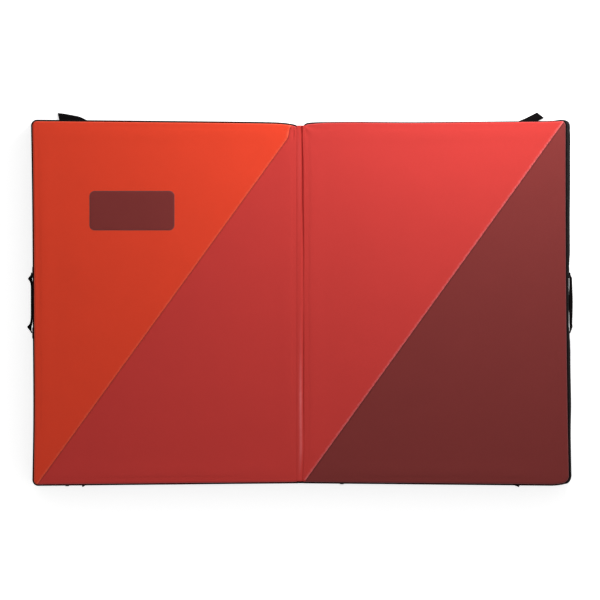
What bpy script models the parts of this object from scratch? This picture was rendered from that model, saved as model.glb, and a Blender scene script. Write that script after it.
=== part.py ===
"""A hinge-fold bouldering crash pad, modelled in metres.

The pad lies open on the floor with its landing face up. X runs across the fold,
Y along it and Z up, and the origin is on the floor under the middle of the fold.
"""

import math
from collections import namedtuple

import bmesh
import bpy
from mathutils import Matrix, Vector

# The open pad, over its piping
pad_length = 1.650
pad_width = 1.120
pad_thickness = 0.125
hinge_gap = 0.006
hinge_draw_in = 0.008
end_draw_in = 0.004

# Corners of the two panels, seen from above
outer_corner_radius = 0.017
worn_corner_radius = 0.028
hinge_corner_radius = 0.015

# Cloth, piping and the gap between pieces that touch
cloth_thickness = 0.0010
piping_radius = 0.0025
fit_gap = 0.0003
foam_gap = 0.0007

# How the two faces round over at their edges
crown_height = 0.004
top_roll_rise = 0.008
under_roll_rise = 0.0085
roll_reach = 0.0125

# Foam layers
base_foam_thickness = 0.020
core_foam_thickness = 0.072

# The cloth strip in the fold
fold_clearance = 0.0005
web_depth = 0.0078
web_thickness = 0.0008
web_end_inset = 0.016

# The plain sewn patch, its middle measured in from the short end and the long side
patch_length = 0.260
patch_width = 0.120
patch_end_inset = 0.308
patch_side_inset = 0.277
patch_thickness = 0.0006
patch_corner_radius = 0.015

# Webbing and the straps that close the folded pad. A root is measured in from the
# short end and the long side, and a heading is in degrees from the X axis
webbing_width = 0.025
webbing_thickness = 0.0018
closure_floor_gap = 0.0028
closure_tab_length = 0.028
dent_slope = 0.015
dent_margin = 0.031

upper_left_root = (0.265, 0.041)
upper_left_heading = 15.0
upper_left_reach = 0.190
lower_left_root = (0.260, 0.077)
lower_left_heading = 33.0
lower_left_reach = 0.128
upper_right_root = (0.263, 0.074)
upper_right_heading = 27.0
upper_right_reach = 0.190
lower_right_root = (0.303, 0.062)
lower_right_heading = 20.0
lower_right_reach = 0.160

# The loops that run on webbing: wall, clearance round the webbing, and length
keeper_wall = 0.0020
keeper_play = 0.0006
keeper_length = 0.006
closure_keeper_station = 0.060
hook_length = 0.034
hook_plate = 0.0018
hook_mouth = 0.007
hook_bar = 0.005
slider_length = 0.020
slider_bar = 0.004

# Carry handles on the two short ends
handle_height = 0.060
handle_half_span = 0.0925
handle_nub_station = 0.074
handle_nub_reach = 0.0146
handle_middle_reach = 0.0085
handle_smooth_reach = 0.0088
handle_half_thickness = 0.0014
handle_half_width = 0.010
handle_end_radius = 0.0020
handle_patch_length = 0.034
handle_patch_height = 0.030
handle_patch_thickness = 0.0022

# Zips in the lower long walls
zip_start = 0.120
zip_end_inset = 0.105
zip_height = 0.060
zip_tape_width = 0.016
zip_tape_thickness = 0.0012
zip_slider_length = 0.011
zip_slider_width = 0.009
zip_slider_thickness = 0.0030
zip_pull_length = 0.024
zip_pull_width = 0.006

# The carrying harness, sunk in the left panel's underside
recess_depth = 0.0140
recess_margin = 0.026
tab_thickness = 0.0025
tab_length = 0.034
harness_floor_gap = 0.0030
shoulder_root_across = 0.064
shoulder_root_along = 0.315
shoulder_length = 0.335
shoulder_bulge = 0.045
shoulder_foot_across = 0.110
shoulder_width = 0.060
shoulder_foot_width = 0.046
shoulder_webbing_end = 0.205
adjuster_length = 0.024
adjuster_thickness = 0.0060
belt_along = 0.285
belt_root_across = 0.036
belt_wing_length = 0.185
belt_wing_width = 0.084
belt_tip_width = 0.050
belt_webbing_length = 0.060
buckle_length = 0.046
buckle_width = 0.036
buckle_thickness = 0.0085
buckle_wall = 0.0018
buckle_prong = 0.0055
buckle_mouth_depth = 0.026
haul_root_along = 0.355
haul_half_width = 0.017
haul_straight = 0.028
haul_radius = 0.0038

# Hand-chosen shares of the lengths they follow
panel_interior_shares = (0.2, 0.4, 0.6, 0.8)
roll_step_shares = (0.0, 0.10, 0.26, 0.48, 0.74, 1.0)
under_step_shares = (0.0, 0.25, 0.6, 1.0)
shoulder_station_shares = (0.0, 0.06, 0.16, 0.34, 0.52, 0.70, 0.86, 0.95, 1.0)
shoulder_swell_shares = (0.0, 0.45, 1.0, 1.0, 1.0, 1.0, 1.0, 0.6, 0.0)
wing_station_shares = (0.0, 0.08, 0.22, 0.50, 0.78, 0.93, 1.0)
wing_swell_shares = (0.0, 0.5, 1.0, 1.0, 1.0, 0.6, 0.12)
pad_ring_shares = ((-1.0, 0.35), (-1.0, 0.65), (-0.86, 1.0), (0.86, 1.0),
                   (1.0, 0.65), (1.0, 0.35), (0.86, 0.0), (-0.86, 0.0))
prong_tip_share = 0.55
side_window_share = 0.45
level_share = 0.1
merge_share = 0.01

# Powers that say how fast a handle's bow fills out from its sewn ends
smooth_bow_power = 0.35
nub_fall_power = 6
handle_width_power = 0.5

# Faces that meet at less than these angles, in degrees, are shaded smooth
smooth_degrees = 35.0
dent_smooth_degrees = 20.0

# Counts
corner_steps = 4
end_side_steps = 5
tube_sides_setting = 1
ring_sides = 8
handle_rings = 17
haul_turn_steps = 6

# Sizes worked out from those above
half_width = pad_width / 2
outer_edge = pad_length / 2
hinge_edge = hinge_gap / 2
panel_middle = (outer_edge + hinge_edge) / 2
panel_half_span = (outer_edge - hinge_edge) / 2
cloth_inset = piping_radius
cover_stack = cloth_thickness + foam_gap
foam_inset = 2 * piping_radius + 2 * foam_gap
top_cloth_edge = pad_thickness - crown_height - top_roll_rise
top_piping_level = top_cloth_edge - fit_gap - piping_radius
wall_top = top_piping_level - piping_radius - fit_gap
low_piping_level = under_roll_rise + fit_gap + piping_radius
wall_foot = low_piping_level + piping_radius + fit_gap
base_foam_top = cover_stack + base_foam_thickness
core_foam_low = base_foam_top + fit_gap
core_foam_top = core_foam_low + core_foam_thickness
top_foam_low = core_foam_top + fit_gap
fold_level = pad_thickness + fold_clearance
tab_level = recess_depth - fit_gap - tab_thickness
keeper_half_width = webbing_width / 2 + keeper_play + keeper_wall

LEFT, RIGHT = -1, 1
UPPER, LOWER = 1, -1

Spot = namedtuple("Spot", "x y depth outward u v square_x square_y")
Closure = namedtuple("Closure", "name side row root heading reach")
Dent = namedtuple("Dent", "low_x high_x low_y high_y height")
Finish = namedtuple("Finish", "color roughness metallic")

finishes = {
    "orange_cloth": Finish((0.617, 0.048, 0.020), 0.85, 0.0),
    "red_cloth": Finish((0.503, 0.041, 0.037), 0.85, 0.0),
    "maroon_cloth": Finish((0.181, 0.032, 0.027), 0.85, 0.0),
    "black_cloth": Finish((0.016, 0.016, 0.018), 0.75, 0.0),
    "black_webbing": Finish((0.011, 0.011, 0.012), 0.70, 0.0),
    "grey_foam": Finish((0.110, 0.115, 0.120), 0.95, 0.0),
    "pale_foam": Finish((0.640, 0.600, 0.480), 0.95, 0.0),
    "steel": Finish((0.560, 0.570, 0.580), 0.35, 1.0),
    "black_plastic": Finish((0.018, 0.018, 0.019), 0.45, 0.0),
}


def clear_scene():
    """Takes away whatever the file opened with."""
    for thing in list(bpy.data.objects):
        bpy.data.objects.remove(thing)


def make_materials():
    """One Principled material for each finish."""
    materials = {}
    for name, finish in finishes.items():
        material = bpy.data.materials.new(name)
        material.use_nodes = True
        shader = material.node_tree.nodes["Principled BSDF"]
        shader.inputs["Base Color"].default_value = (*finish.color, 1.0)
        shader.inputs["Roughness"].default_value = finish.roughness
        shader.inputs["Metallic"].default_value = finish.metallic
        material.diffuse_color = (*finish.color, 1.0)
        materials[name] = material
    return materials


def new_collection(name):
    """A collection linked to the scene."""
    collection = bpy.data.collections.new(name)
    bpy.context.scene.collection.children.link(collection)
    return collection


clear_scene()
MATERIALS = make_materials()
PAD = new_collection("crash_pad")
CUTTERS = new_collection("cutters")


def place(name, mesh, finish, location=(0, 0, 0), heading=0.0):
    """Makes an object of a mesh, with its material, place and heading about Z."""
    thing = bpy.data.objects.new(name, mesh)
    PAD.objects.link(thing)
    thing.location = location
    thing.rotation_euler = (0, 0, heading)
    mesh.materials.clear()
    mesh.materials.append(MATERIALS[finish])
    return thing


def finish_mesh(bm, name, degrees=smooth_degrees):
    """Turns a bmesh into a mesh with its faces out and its round faces smooth."""
    bmesh.ops.recalc_face_normals(bm, faces=bm.faces[:])
    mesh = bpy.data.meshes.new(name)
    bm.to_mesh(mesh)
    bm.free()
    mesh.shade_smooth()
    mesh.set_sharp_from_angle(angle=math.radians(degrees))
    return mesh


def corner_radius(side, outer, row):
    """The plan radius of one corner of a panel."""
    if not outer:
        return hinge_corner_radius
    if side == RIGHT and row == LOWER:
        return worn_corner_radius
    return outer_corner_radius


def shape_plan(side, across, along):
    """Tapers the panel to the hinge and draws in its short end."""
    share = across / outer_edge
    y = along * (1 - hinge_draw_in / half_width * (1 - share))
    bow = end_draw_in * (1 - (along / half_width) ** 2) * share ** 2
    return Vector((side * (across - bow), y))


def panel_spot(side, across, along, inset):
    """Where a point of a panel's sheet lies, and how far inside the edge it is.

    Sheets are laid out on a rectangle, whose own place the spot keeps. Near its
    corners the rectangle is turned into a quarter disc, so the border is a true arc.
    """
    row = UPPER if along > 0 else LOWER
    outer = across > panel_middle
    radius = corner_radius(side, outer, row)
    edge = outer_edge if outer else hinge_edge
    way = 1 if outer else -1
    over_x = way * (across - edge) + radius
    over_y = abs(along) - half_width + radius
    border = radius - inset
    square_x = side * across
    square_y = along
    if over_x > 0 and over_y > 0:
        a = over_x / border
        b = over_y / border
        a, b = a * math.sqrt(max(0, 1 - b * b / 2)), b * math.sqrt(max(0, 1 - a * a / 2))
        across = edge + way * (a * border - radius)
        along = row * (half_width - radius + b * border)
        reach = math.hypot(a, b)
        depth = radius - reach * border
        outward = Vector((side * way * a / reach, row * b / reach))
    else:
        beside = way * (edge - across)
        behind = half_width - abs(along)
        depth = min(beside, behind)
        outward = Vector((side * way, 0)) if beside < behind else Vector((0, row))
    plan = shape_plan(side, across, along)
    u = (abs(square_x) - panel_middle) / panel_half_span
    v = square_y / half_width
    return Spot(plan.x, plan.y, depth, outward, u, v, square_x, square_y)


def outline_loop(side, inset):
    """Points round a panel, from the upper hinge corner by the outer end to the lower one."""
    points = []
    corners = ((False, UPPER), (True, UPPER), (True, LOWER), (False, LOWER))
    for outer, row in corners:
        radius = corner_radius(side, outer, row)
        edge = outer_edge if outer else hinge_edge
        way = 1 if outer else -1
        centre = (edge - way * radius, row * (half_width - radius))
        turn = range(corner_steps + 1)
        if (outer and row == UPPER) or (not outer and row == LOWER):
            turn = reversed(turn)
        for step in turn:
            angle = math.pi / 2 * step / corner_steps
            across = centre[0] + way * (radius - inset) * math.cos(angle)
            along = centre[1] + row * (radius - inset) * math.sin(angle)
            points.append(shape_plan(side, across, along))
        if outer and row == UPPER:
            start = half_width - radius
            stop = -(half_width - corner_radius(side, True, LOWER))
            for step in range(1, end_side_steps):
                along = start + (stop - start) * step / end_side_steps
                points.append(shape_plan(side, outer_edge - inset, along))
    return points


def roll_angle(depth, inset):
    """How far round the edge roll a point is: 0 at the rim, a right angle on the flat."""
    share = min(max((depth - inset) / roll_reach, 0), 1)
    return math.acos(1 - share)


def crown(spot):
    """The slow rise of the landing face towards the panel's middle."""
    return crown_height * (1 - spot.u ** 2) * (1 - spot.v ** 2)


def top_height(spot, shift=0.0):
    """The landing face. A foam under it is shifted in and down by the same amount."""
    roll = top_roll_rise * math.sin(roll_angle(spot.depth, cloth_inset + shift))
    return top_cloth_edge + roll + crown(spot) - shift


def dent_height(dents, x, y):
    """How far the underside is pressed up at a point."""
    height = 0.0
    for dent in dents:
        inside = min(x - dent.low_x, dent.high_x - x, y - dent.low_y, dent.high_y - y)
        share = min(max(inside / dent_slope, 0), 1)
        height = max(height, dent.height * share)
    return height


def under_height(spot, dents, shift=0.0):
    """The underside: flat on the floor, rounded up at its rim and dented by straps."""
    roll = under_roll_rise * (1 - math.sin(roll_angle(spot.depth, cloth_inset + shift)))
    return max(roll, dent_height(dents, spot.square_x, spot.square_y)) + shift


def edge_lines(low, high, inset, step_shares, middles):
    """Sorted grid lines between two edges, close together where the face rolls over."""
    insets = [inset + roll_reach * share for share in step_shares]
    lines = [low + step for step in insets] + [high - step for step in insets]
    kept = [line for line in middles if lines[0] + insets[-1] < line < high - insets[-1]]
    return sorted(lines + kept)


def spread(low, high):
    """Evenly placed lines over a panel's interior."""
    return [low + (high - low) * share for share in panel_interior_shares]


def make_sheet(side, across_lines, along_lines, inset, height, shell_way):
    """An open grid laid over a panel, with each point's inward way kept for the shell."""
    columns = len(across_lines) - 1
    rows = len(along_lines) - 1
    bm = bmesh.new()
    bmesh.ops.create_grid(bm, x_segments=columns, y_segments=rows, size=0.5)
    inward = bm.verts.layers.float_vector.new("inward")
    for vert in bm.verts:
        across = across_lines[round((vert.co.x + 0.5) * columns)]
        along = along_lines[round((vert.co.y + 0.5) * rows)]
        spot = panel_spot(side, across, along, inset)
        vert.co = (spot.x, spot.y, height(spot))
        vert[inward] = shell_way(spot)
    bmesh.ops.triangulate(bm, faces=bm.faces[:], quad_method="FIXED")
    return bm


def close_sheet(bm):
    """Gives a sheet its second face along the kept inward ways, and closes the rim."""
    inward = bm.verts.layers.float_vector["inward"]
    first_faces = bm.faces[:]
    grown = bmesh.ops.extrude_face_region(bm, geom=first_faces, use_keep_orig=True)
    for thing in grown["geom"]:
        if isinstance(thing, bmesh.types.BMVert):
            thing.co += thing[inward]


def flatten_side(bm, level):
    """Joins the small faces of a flat side into large ones."""
    near = level_share * fit_gap
    flat = [f for f in bm.faces if all(abs(v.co.z - level) < near for v in f.verts)]
    inner = set()
    for face in flat:
        inner.update(e for e in face.edges if all(g in flat for g in e.link_faces))
    bmesh.ops.dissolve_edges(bm, edges=list(inner), use_verts=True)


def rolled_way(rise, up, thickness):
    """The way from a cover's outer face to its inner face, square to its rolled rim."""

    def way(spot):
        angle = roll_angle(spot.depth, cloth_inset)
        flat = math.cos(angle) / roll_reach
        upright = math.sin(angle) / rise
        scale = thickness / math.hypot(flat, upright)
        return Vector((
            -spot.outward.x * flat * scale,
            -spot.outward.y * flat * scale,
            -up * upright * scale,
        ))

    return way


def top_lines(side, inset):
    """Grid lines of the landing face and of the foam under it."""
    across = edge_lines(hinge_edge, outer_edge, inset, roll_step_shares,
                        spread(hinge_edge, outer_edge))
    along = edge_lines(-half_width, half_width, inset, roll_step_shares,
                       spread(-half_width, half_width))
    return across, along


def landing_cloth(side, name, finish, keep):
    """One of the two cloth triangles of a panel's landing face."""
    across, along = top_lines(side, cloth_inset)
    way = rolled_way(top_roll_rise, 1, cloth_thickness)
    bm = make_sheet(side, across, along, cloth_inset, top_height, way)
    close_sheet(bm)
    low = shape_plan(side, hinge_edge if side == RIGHT else outer_edge, -half_width)
    high = shape_plan(side, outer_edge if side == RIGHT else hinge_edge, half_width)
    run = (high - low).normalized()
    square = Vector((-run.y, run.x, 0)) * keep
    start = Vector((low.x, low.y, 0)) + square * fit_gap / 2
    geometry = bm.verts[:] + bm.edges[:] + bm.faces[:]
    cut = bmesh.ops.bisect_plane(bm, geom=geometry, plane_co=start, plane_no=square,
                                 clear_inner=True)
    seam = [e for e in cut["geom_cut"] if isinstance(e, bmesh.types.BMEdge)]
    bmesh.ops.holes_fill(bm, edges=seam, sides=0)
    return place(name, finish_mesh(bm, name), finish)


def foam_top(side, name):
    """The closed-cell sheet under the landing cloth."""
    across, along = top_lines(side, foam_inset)
    bm = make_sheet(side, across, along, foam_inset,
                    lambda spot: top_height(spot, cover_stack),
                    lambda spot: Vector((0, 0, top_foam_low - top_height(spot, cover_stack))))
    close_sheet(bm)
    flatten_side(bm, top_foam_low)
    return place(name, finish_mesh(bm, name), "grey_foam")


def foam_core(side, name):
    """The thick open-cell block."""
    bm = bmesh.new()
    points = outline_loop(side, foam_inset)
    low = [bm.verts.new((p.x, p.y, core_foam_low)) for p in points]
    face = bm.faces.new(low)
    grown = bmesh.ops.extrude_face_region(bm, geom=[face], use_keep_orig=True)
    lifted = [v for v in grown["geom"] if isinstance(v, bmesh.types.BMVert)]
    bmesh.ops.translate(bm, verts=lifted, vec=(0, 0, core_foam_thickness))
    return place(name, finish_mesh(bm, name), "pale_foam")


def under_lines(side, dents, inset):
    """Grid lines of an underside: the rim, the dents' edges and the middle."""
    across = [panel_middle]
    along = [0.0]
    for dent in dents:
        for x in (dent.low_x, dent.low_x + dent_slope, dent.high_x - dent_slope, dent.high_x):
            across.append(abs(x))
        for y in (dent.low_y, dent.low_y + dent_slope, dent.high_y - dent_slope, dent.high_y):
            along.append(y)
    return (
        edge_lines(hinge_edge, outer_edge, inset, under_step_shares, across),
        edge_lines(-half_width, half_width, inset, under_step_shares, along),
    )


def bottom_cover(side, name, dents):
    """The coated black cloth that lies on the ground."""
    across, along = under_lines(side, dents, cloth_inset)
    rolled = rolled_way(under_roll_rise, -1, cloth_thickness)

    def way(spot):
        if under_height(spot, dents) > under_height(spot, []):
            return Vector((0, 0, cloth_thickness))
        return rolled(spot)

    bm = make_sheet(side, across, along, cloth_inset,
                    lambda spot: under_height(spot, dents), way)
    close_sheet(bm)
    return place(name, finish_mesh(bm, name, dent_smooth_degrees), "black_cloth")


def foam_base(side, name, dents):
    """The closed-cell sheet over the bottom cover, dented where straps lie."""
    across, along = under_lines(side, dents, foam_inset)

    def height(spot):
        return under_height(spot, dents, cover_stack)

    bm = make_sheet(side, across, along, foam_inset, height,
                    lambda spot: Vector((0, 0, base_foam_top - height(spot))))
    close_sheet(bm)
    flatten_side(bm, base_foam_top)
    return place(name, finish_mesh(bm, name), "grey_foam")


def skin(bm, rings, closed=False):
    """Faces from each ring of points to the next, with caps unless the rings close."""
    made = [[bm.verts.new(point) for point in ring] for ring in rings]
    pairs = list(zip(made, made[1:]))
    if closed:
        pairs.append((made[-1], made[0]))
    else:
        bm.faces.new(made[0])
        bm.faces.new(made[-1])
    for first, second in pairs:
        for step in range(len(first)):
            after = (step + 1) % len(first)
            bm.faces.new((first[step], first[after], second[after], second[step]))


def side_wall(side, name):
    """The band of cloth round the foam. Between the panels it reaches the two covers."""
    outer = outline_loop(side, cloth_inset)
    inner = outline_loop(side, cloth_inset + cloth_thickness)
    count = len(outer)
    piped = range(corner_steps // 2, count - corner_steps // 2)
    rings = []
    for step, (out, inside) in enumerate(zip(outer, inner)):
        foot = wall_foot if step in piped else under_roll_rise + fit_gap
        top = wall_top if step in piped else top_cloth_edge - fit_gap
        rings.append((
            (out.x, out.y, foot), (out.x, out.y, top),
            (inside.x, inside.y, top), (inside.x, inside.y, foot),
        ))
    bm = bmesh.new()
    skin(bm, rings, closed=True)
    return place(name, finish_mesh(bm, name), "black_cloth")


def weld(mesh):
    """Joins the loose caps of a mesh made from a curve."""
    bm = bmesh.new()
    bm.from_mesh(mesh)
    bmesh.ops.remove_doubles(bm, verts=bm.verts[:], dist=merge_share * fit_gap)
    return bm


def curve_bmesh(curve, name):
    """The welded mesh of a curve, with the curve object taken away again."""
    guide = bpy.data.objects.new(name, curve)
    PAD.objects.link(guide)
    bpy.context.view_layer.update()
    shape = guide.evaluated_get(bpy.context.evaluated_depsgraph_get())
    mesh = bpy.data.meshes.new_from_object(shape)
    bm = weld(mesh)
    bpy.data.objects.remove(guide)
    return bm


def tube(points, radius, name):
    """A round tube along points, as a bmesh with closed ends."""
    curve = bpy.data.curves.new(name, "CURVE")
    curve.dimensions = "3D"
    curve.bevel_depth = radius
    curve.bevel_resolution = tube_sides_setting
    curve.use_fill_caps = True
    spline = curve.splines.new("POLY")
    spline.points.add(len(points) - 1)
    for point, place_ in zip(spline.points, points):
        point.co = (*place_, 1)
    return curve_bmesh(curve, name)


def plate(outlines, thickness, name):
    """A flat plate from an outline and its windows, with its lower face at zero."""
    curve = bpy.data.curves.new(name, "CURVE")
    curve.dimensions = "2D"
    curve.fill_mode = "BOTH"
    curve.extrude = thickness / 2
    for outline in outlines:
        spline = curve.splines.new("POLY")
        spline.points.add(len(outline) - 1)
        for point, (x, y) in zip(spline.points, outline):
            point.co = (x, y, 0, 1)
        spline.use_cyclic_u = True
    bm = curve_bmesh(curve, name)
    bmesh.ops.translate(bm, verts=bm.verts[:], vec=(0, 0, thickness / 2))
    return bm


def rectangle(low_x, high_x, low_y, high_y):
    """The four corners of an outline."""
    return ((low_x, low_y), (high_x, low_y), (high_x, high_y), (low_x, high_y))


def block(bm, low, high):
    """Adds a box between two corners."""
    size = Vector(high) - Vector(low)
    centre = (Vector(high) + Vector(low)) / 2
    fit = Matrix.Translation(centre) @ Matrix.Diagonal((*size, 1))
    bmesh.ops.create_cube(bm, size=1, matrix=fit)


def box_mesh(name, low, high):
    """The mesh of one box."""
    bm = bmesh.new()
    block(bm, low, high)
    return finish_mesh(bm, name)


def cutter(name, low, high, target, operation="DIFFERENCE"):
    """A box that cuts a window in a target which shares its place."""
    tool = bpy.data.objects.new(name, box_mesh(name, low, high))
    CUTTERS.objects.link(tool)
    tool.location = target.location
    tool.rotation_euler = target.rotation_euler
    tool.hide_render = True
    tool.display_type = "WIRE"
    cut = target.modifiers.new(name, "BOOLEAN")
    cut.operation = operation
    cut.object = tool


def piping(side, name, level):
    """The black cord sewn round three sides of a panel."""
    loop = outline_loop(side, piping_radius)
    path = loop[corner_steps // 2:len(loop) - corner_steps // 2]
    bm = tube([(point.x, point.y, level) for point in path], piping_radius, name)
    return place(name, finish_mesh(bm, name), "black_webbing")


def valley_radius():
    """The least distance from the fold's axis to the rounded edge of a panel."""
    reaches = []
    for share in roll_step_shares:
        depth = cloth_inset + share * roll_reach
        rise = top_roll_rise * math.sin(roll_angle(depth, cloth_inset))
        reaches.append(math.hypot(hinge_edge + depth, fold_level - top_cloth_edge - rise))
    return min(reaches)


def hinge_web():
    """The strip of cloth that joins the two landing faces and turns half as far."""
    low = web_depth + web_thickness
    reach = valley_radius() - fit_gap
    wide = math.sqrt(reach ** 2 - low ** 2)
    end = shape_plan(RIGHT, hinge_edge, half_width).y - web_end_inset
    mesh = box_mesh("hinge_web", (-wide, -end, -low), (wide, end, -web_depth))
    return place("hinge_web", mesh, "red_cloth", (0, 0, fold_level))


def blank_patch():
    """A plain stitched patch that follows the crown of the first triangle."""
    half_long = patch_length / 2
    half_wide = patch_width / 2
    x_lines = (-half_long, patch_corner_radius - half_long, 0,
               half_long - patch_corner_radius, half_long)
    y_lines = (-half_wide, patch_corner_radius - half_wide, 0,
               half_wide - patch_corner_radius, half_wide)
    bm = bmesh.new()
    columns = len(x_lines) - 1
    rows = len(y_lines) - 1
    bmesh.ops.create_grid(bm, x_segments=columns, y_segments=rows, size=0.5)
    inward = bm.verts.layers.float_vector.new("inward")
    pulled = patch_corner_radius * (1 - math.sqrt(0.5))
    for vert in bm.verts:
        x = x_lines[round((vert.co.x + 0.5) * columns)]
        y = y_lines[round((vert.co.y + 0.5) * rows)]
        if abs(x) == half_long and abs(y) == half_wide:
            x -= math.copysign(pulled, x)
            y -= math.copysign(pulled, y)
        across = outer_edge - patch_end_inset - x
        along = half_width - patch_side_inset + y
        spot = panel_spot(LEFT, across, along, cloth_inset)
        level = top_height(spot) + fit_gap + patch_thickness
        vert.co = (spot.x, spot.y, level)
        vert[inward] = Vector((0, 0, -patch_thickness))
    bmesh.ops.triangulate(bm, faces=bm.faces[:], quad_method="FIXED")
    close_sheet(bm)
    return place("blank_patch", finish_mesh(bm, "blank_patch"), "maroon_cloth")


def wall_frame(side):
    """Where the zip starts on the lower long wall, and the wall's heading there."""
    line = half_width - cloth_inset
    first = shape_plan(side, zip_start, -line)
    last = shape_plan(side, outer_edge - zip_end_inset, -line)
    if side == LEFT:
        first, last = last, first
    run = last - first
    return (first.x, first.y, zip_height), math.atan2(run.y, run.x), run.length


def zip_parts(side, word):
    """The zip tape on the wall and the slider that runs along it."""
    spot, heading, length = wall_frame(side)
    back = -fit_gap
    front = back - zip_tape_thickness
    tape = box_mesh(word + "_zip_tape", (0, front, -zip_tape_width / 2),
                    (length, back, zip_tape_width / 2))
    place(word + "_zip_tape", tape, "black_webbing", spot, heading)
    half = zip_slider_width / 2
    tail = half + zip_pull_length
    pull = zip_pull_width / 2
    middle = zip_slider_length / 2
    outline = (
        (0, -half), (middle - pull, -half), (middle - pull, -tail),
        (middle + pull, -tail), (middle + pull, -half), (zip_slider_length, -half),
        (zip_slider_length, half), (0, half),
    )
    bm = plate([outline], zip_slider_thickness, word + "_zip_slider")
    stand = Matrix.Translation((0, front - fit_gap, 0)) @ Matrix.Rotation(math.pi / 2, 4, "X")
    bmesh.ops.transform(bm, matrix=stand, verts=bm.verts[:])
    name = word + "_zip_slider"
    place(name, finish_mesh(bm, name), "black_plastic", spot, heading)


def handle_wall(side):
    """Where the outer face of the short wall stands at its middle."""
    radius = corner_radius(side, True, LOWER)
    chord = (half_width - radius) / end_side_steps
    return abs(shape_plan(side, outer_edge - cloth_inset, chord).x)


def handle_patches(side, word):
    """The two sewn patches that carry a handle."""
    wall = handle_wall(side)
    near = wall + fit_gap
    far = near + handle_patch_thickness
    high = handle_patch_height / 2
    for place_word, row in (("upper", UPPER), ("lower", LOWER)):
        middle = row * handle_half_span
        name = word + "_handle_patch_" + place_word
        low = (near if side == RIGHT else -far, middle - handle_patch_length / 2,
               handle_height - high)
        top = (far if side == RIGHT else -near, middle + handle_patch_length / 2,
               handle_height + high)
        place(name, box_mesh(name, low, top), "black_webbing")


def handle_reach(side, share):
    """How far the strap stands off its own swing axis, from its middle out to its end."""
    axis = handle_patch_thickness + 2 * fit_gap + handle_end_radius
    nub = handle_nub_station / handle_half_span
    if side == RIGHT:
        swell = math.cos(share * math.pi / 2) ** smooth_bow_power
        return (handle_smooth_reach - axis) * swell
    if share > nub:
        fall = (1 - share) / (1 - nub)
        return (handle_nub_reach - axis) * math.sin(fall * math.pi / 2)
    back = (share / nub) ** nub_fall_power
    return (handle_middle_reach - axis) * (1 - back) + (handle_nub_reach - axis) * back


def handle(side, word):
    """The webbing handle, folded narrow at its ends, where it swings."""
    axis = handle_patch_thickness + 2 * fit_gap + handle_end_radius
    pivot = (side * (handle_wall(side) + axis), 0, handle_height)
    rings = []
    for step in range(handle_rings):
        share = math.sin(math.pi * (step / (handle_rings - 1) - 0.5))
        off = handle_reach(side, abs(share))
        wide_share = min(1, off / (handle_middle_reach - axis)) ** handle_width_power
        tall = handle_end_radius + (handle_half_width - handle_end_radius) * wide_share
        thick = handle_end_radius + (handle_half_thickness - handle_end_radius) * wide_share
        ring = []
        for corner in range(ring_sides):
            angle = 2 * math.pi * (corner + 0.5) / ring_sides
            ring.append((
                side * (off + thick * math.cos(angle)),
                share * handle_half_span,
                tall * math.sin(angle),
            ))
        rings.append(ring)
    bm = bmesh.new()
    skin(bm, rings)
    name = word + "_handle"
    place(name, finish_mesh(bm, name), "black_webbing", pivot)


def closure_list():
    """The four closing straps, with each root's place and heading on the floor plan."""
    rows = (
        ("upper_left", LEFT, UPPER, upper_left_root, upper_left_heading, upper_left_reach),
        ("lower_left", LEFT, LOWER, lower_left_root, lower_left_heading, lower_left_reach),
        ("upper_right", RIGHT, UPPER, upper_right_root, upper_right_heading,
         upper_right_reach),
        ("lower_right", RIGHT, LOWER, lower_right_root, lower_right_heading,
         lower_right_reach),
    )
    closures = []
    for name, side, row, (end_inset, side_inset), tilt, reach in rows:
        root = Vector((side * (outer_edge - end_inset), row * (half_width - side_inset),
                       closure_floor_gap))
        run = Vector((side * math.cos(math.radians(tilt)), row * math.sin(math.radians(tilt))))
        closures.append(Closure(name, side, row, root, math.atan2(run.y, run.x), reach))
    return closures


def closure_dent(closure):
    """The dent that one strap presses into the underside, as high as the rolled rim."""
    way = Vector((math.cos(closure.heading), math.sin(closure.heading), 0))
    ends = (closure.root - way * closure_tab_length, closure.root + way * closure.reach)
    xs = [end.x for end in ends]
    ys = [end.y for end in ends] + [closure.row * (half_width + dent_slope)]
    return Dent(min(xs) - dent_margin, max(xs) + dent_margin,
                min(ys) - dent_margin, max(ys) + dent_margin, under_roll_rise)


def closure_strap(closure):
    """The sewn tab, and the strap that hinges at it and ends in a plain cut tail."""
    half = webbing_width / 2
    roof = under_roll_rise - fit_gap - closure_floor_gap
    tab_name = closure.name + "_strap_tab"
    tab = box_mesh(tab_name, (-closure_tab_length, -half, 0), (0, half, roof))
    place(tab_name, tab, "black_webbing", closure.root, closure.heading)
    name = closure.name + "_strap"
    strap = box_mesh(name, (fit_gap, -half, 0), (closure.reach, half, webbing_thickness))
    place(name, strap, "black_webbing", closure.root, closure.heading)


def keeper_outline():
    """The loop round a strap: its outer edge and its window, across and up."""
    play = keeper_play
    inner = rectangle(-webbing_width / 2 - play, webbing_width / 2 + play,
                      -play, webbing_thickness + play)
    outer = rectangle(-keeper_half_width, keeper_half_width,
                      -play - keeper_wall, webbing_thickness + play + keeper_wall)
    return outer, inner


def keeper_bmesh(length, name):
    """A loop of some length that a strap runs through along X."""
    bm = plate(keeper_outline(), length, name)
    lie = Matrix(((0, 0, 1, 0), (1, 0, 0, 0), (0, 1, 0, 0), (0, 0, 0, 1)))
    bmesh.ops.transform(bm, matrix=lie, verts=bm.verts[:])
    return bm


def keeper_place(closure):
    """Where the metal on a strap sits, and its heading."""
    way = Vector((math.cos(closure.heading), math.sin(closure.heading), 0))
    return closure.root + way * closure_keeper_station


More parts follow.
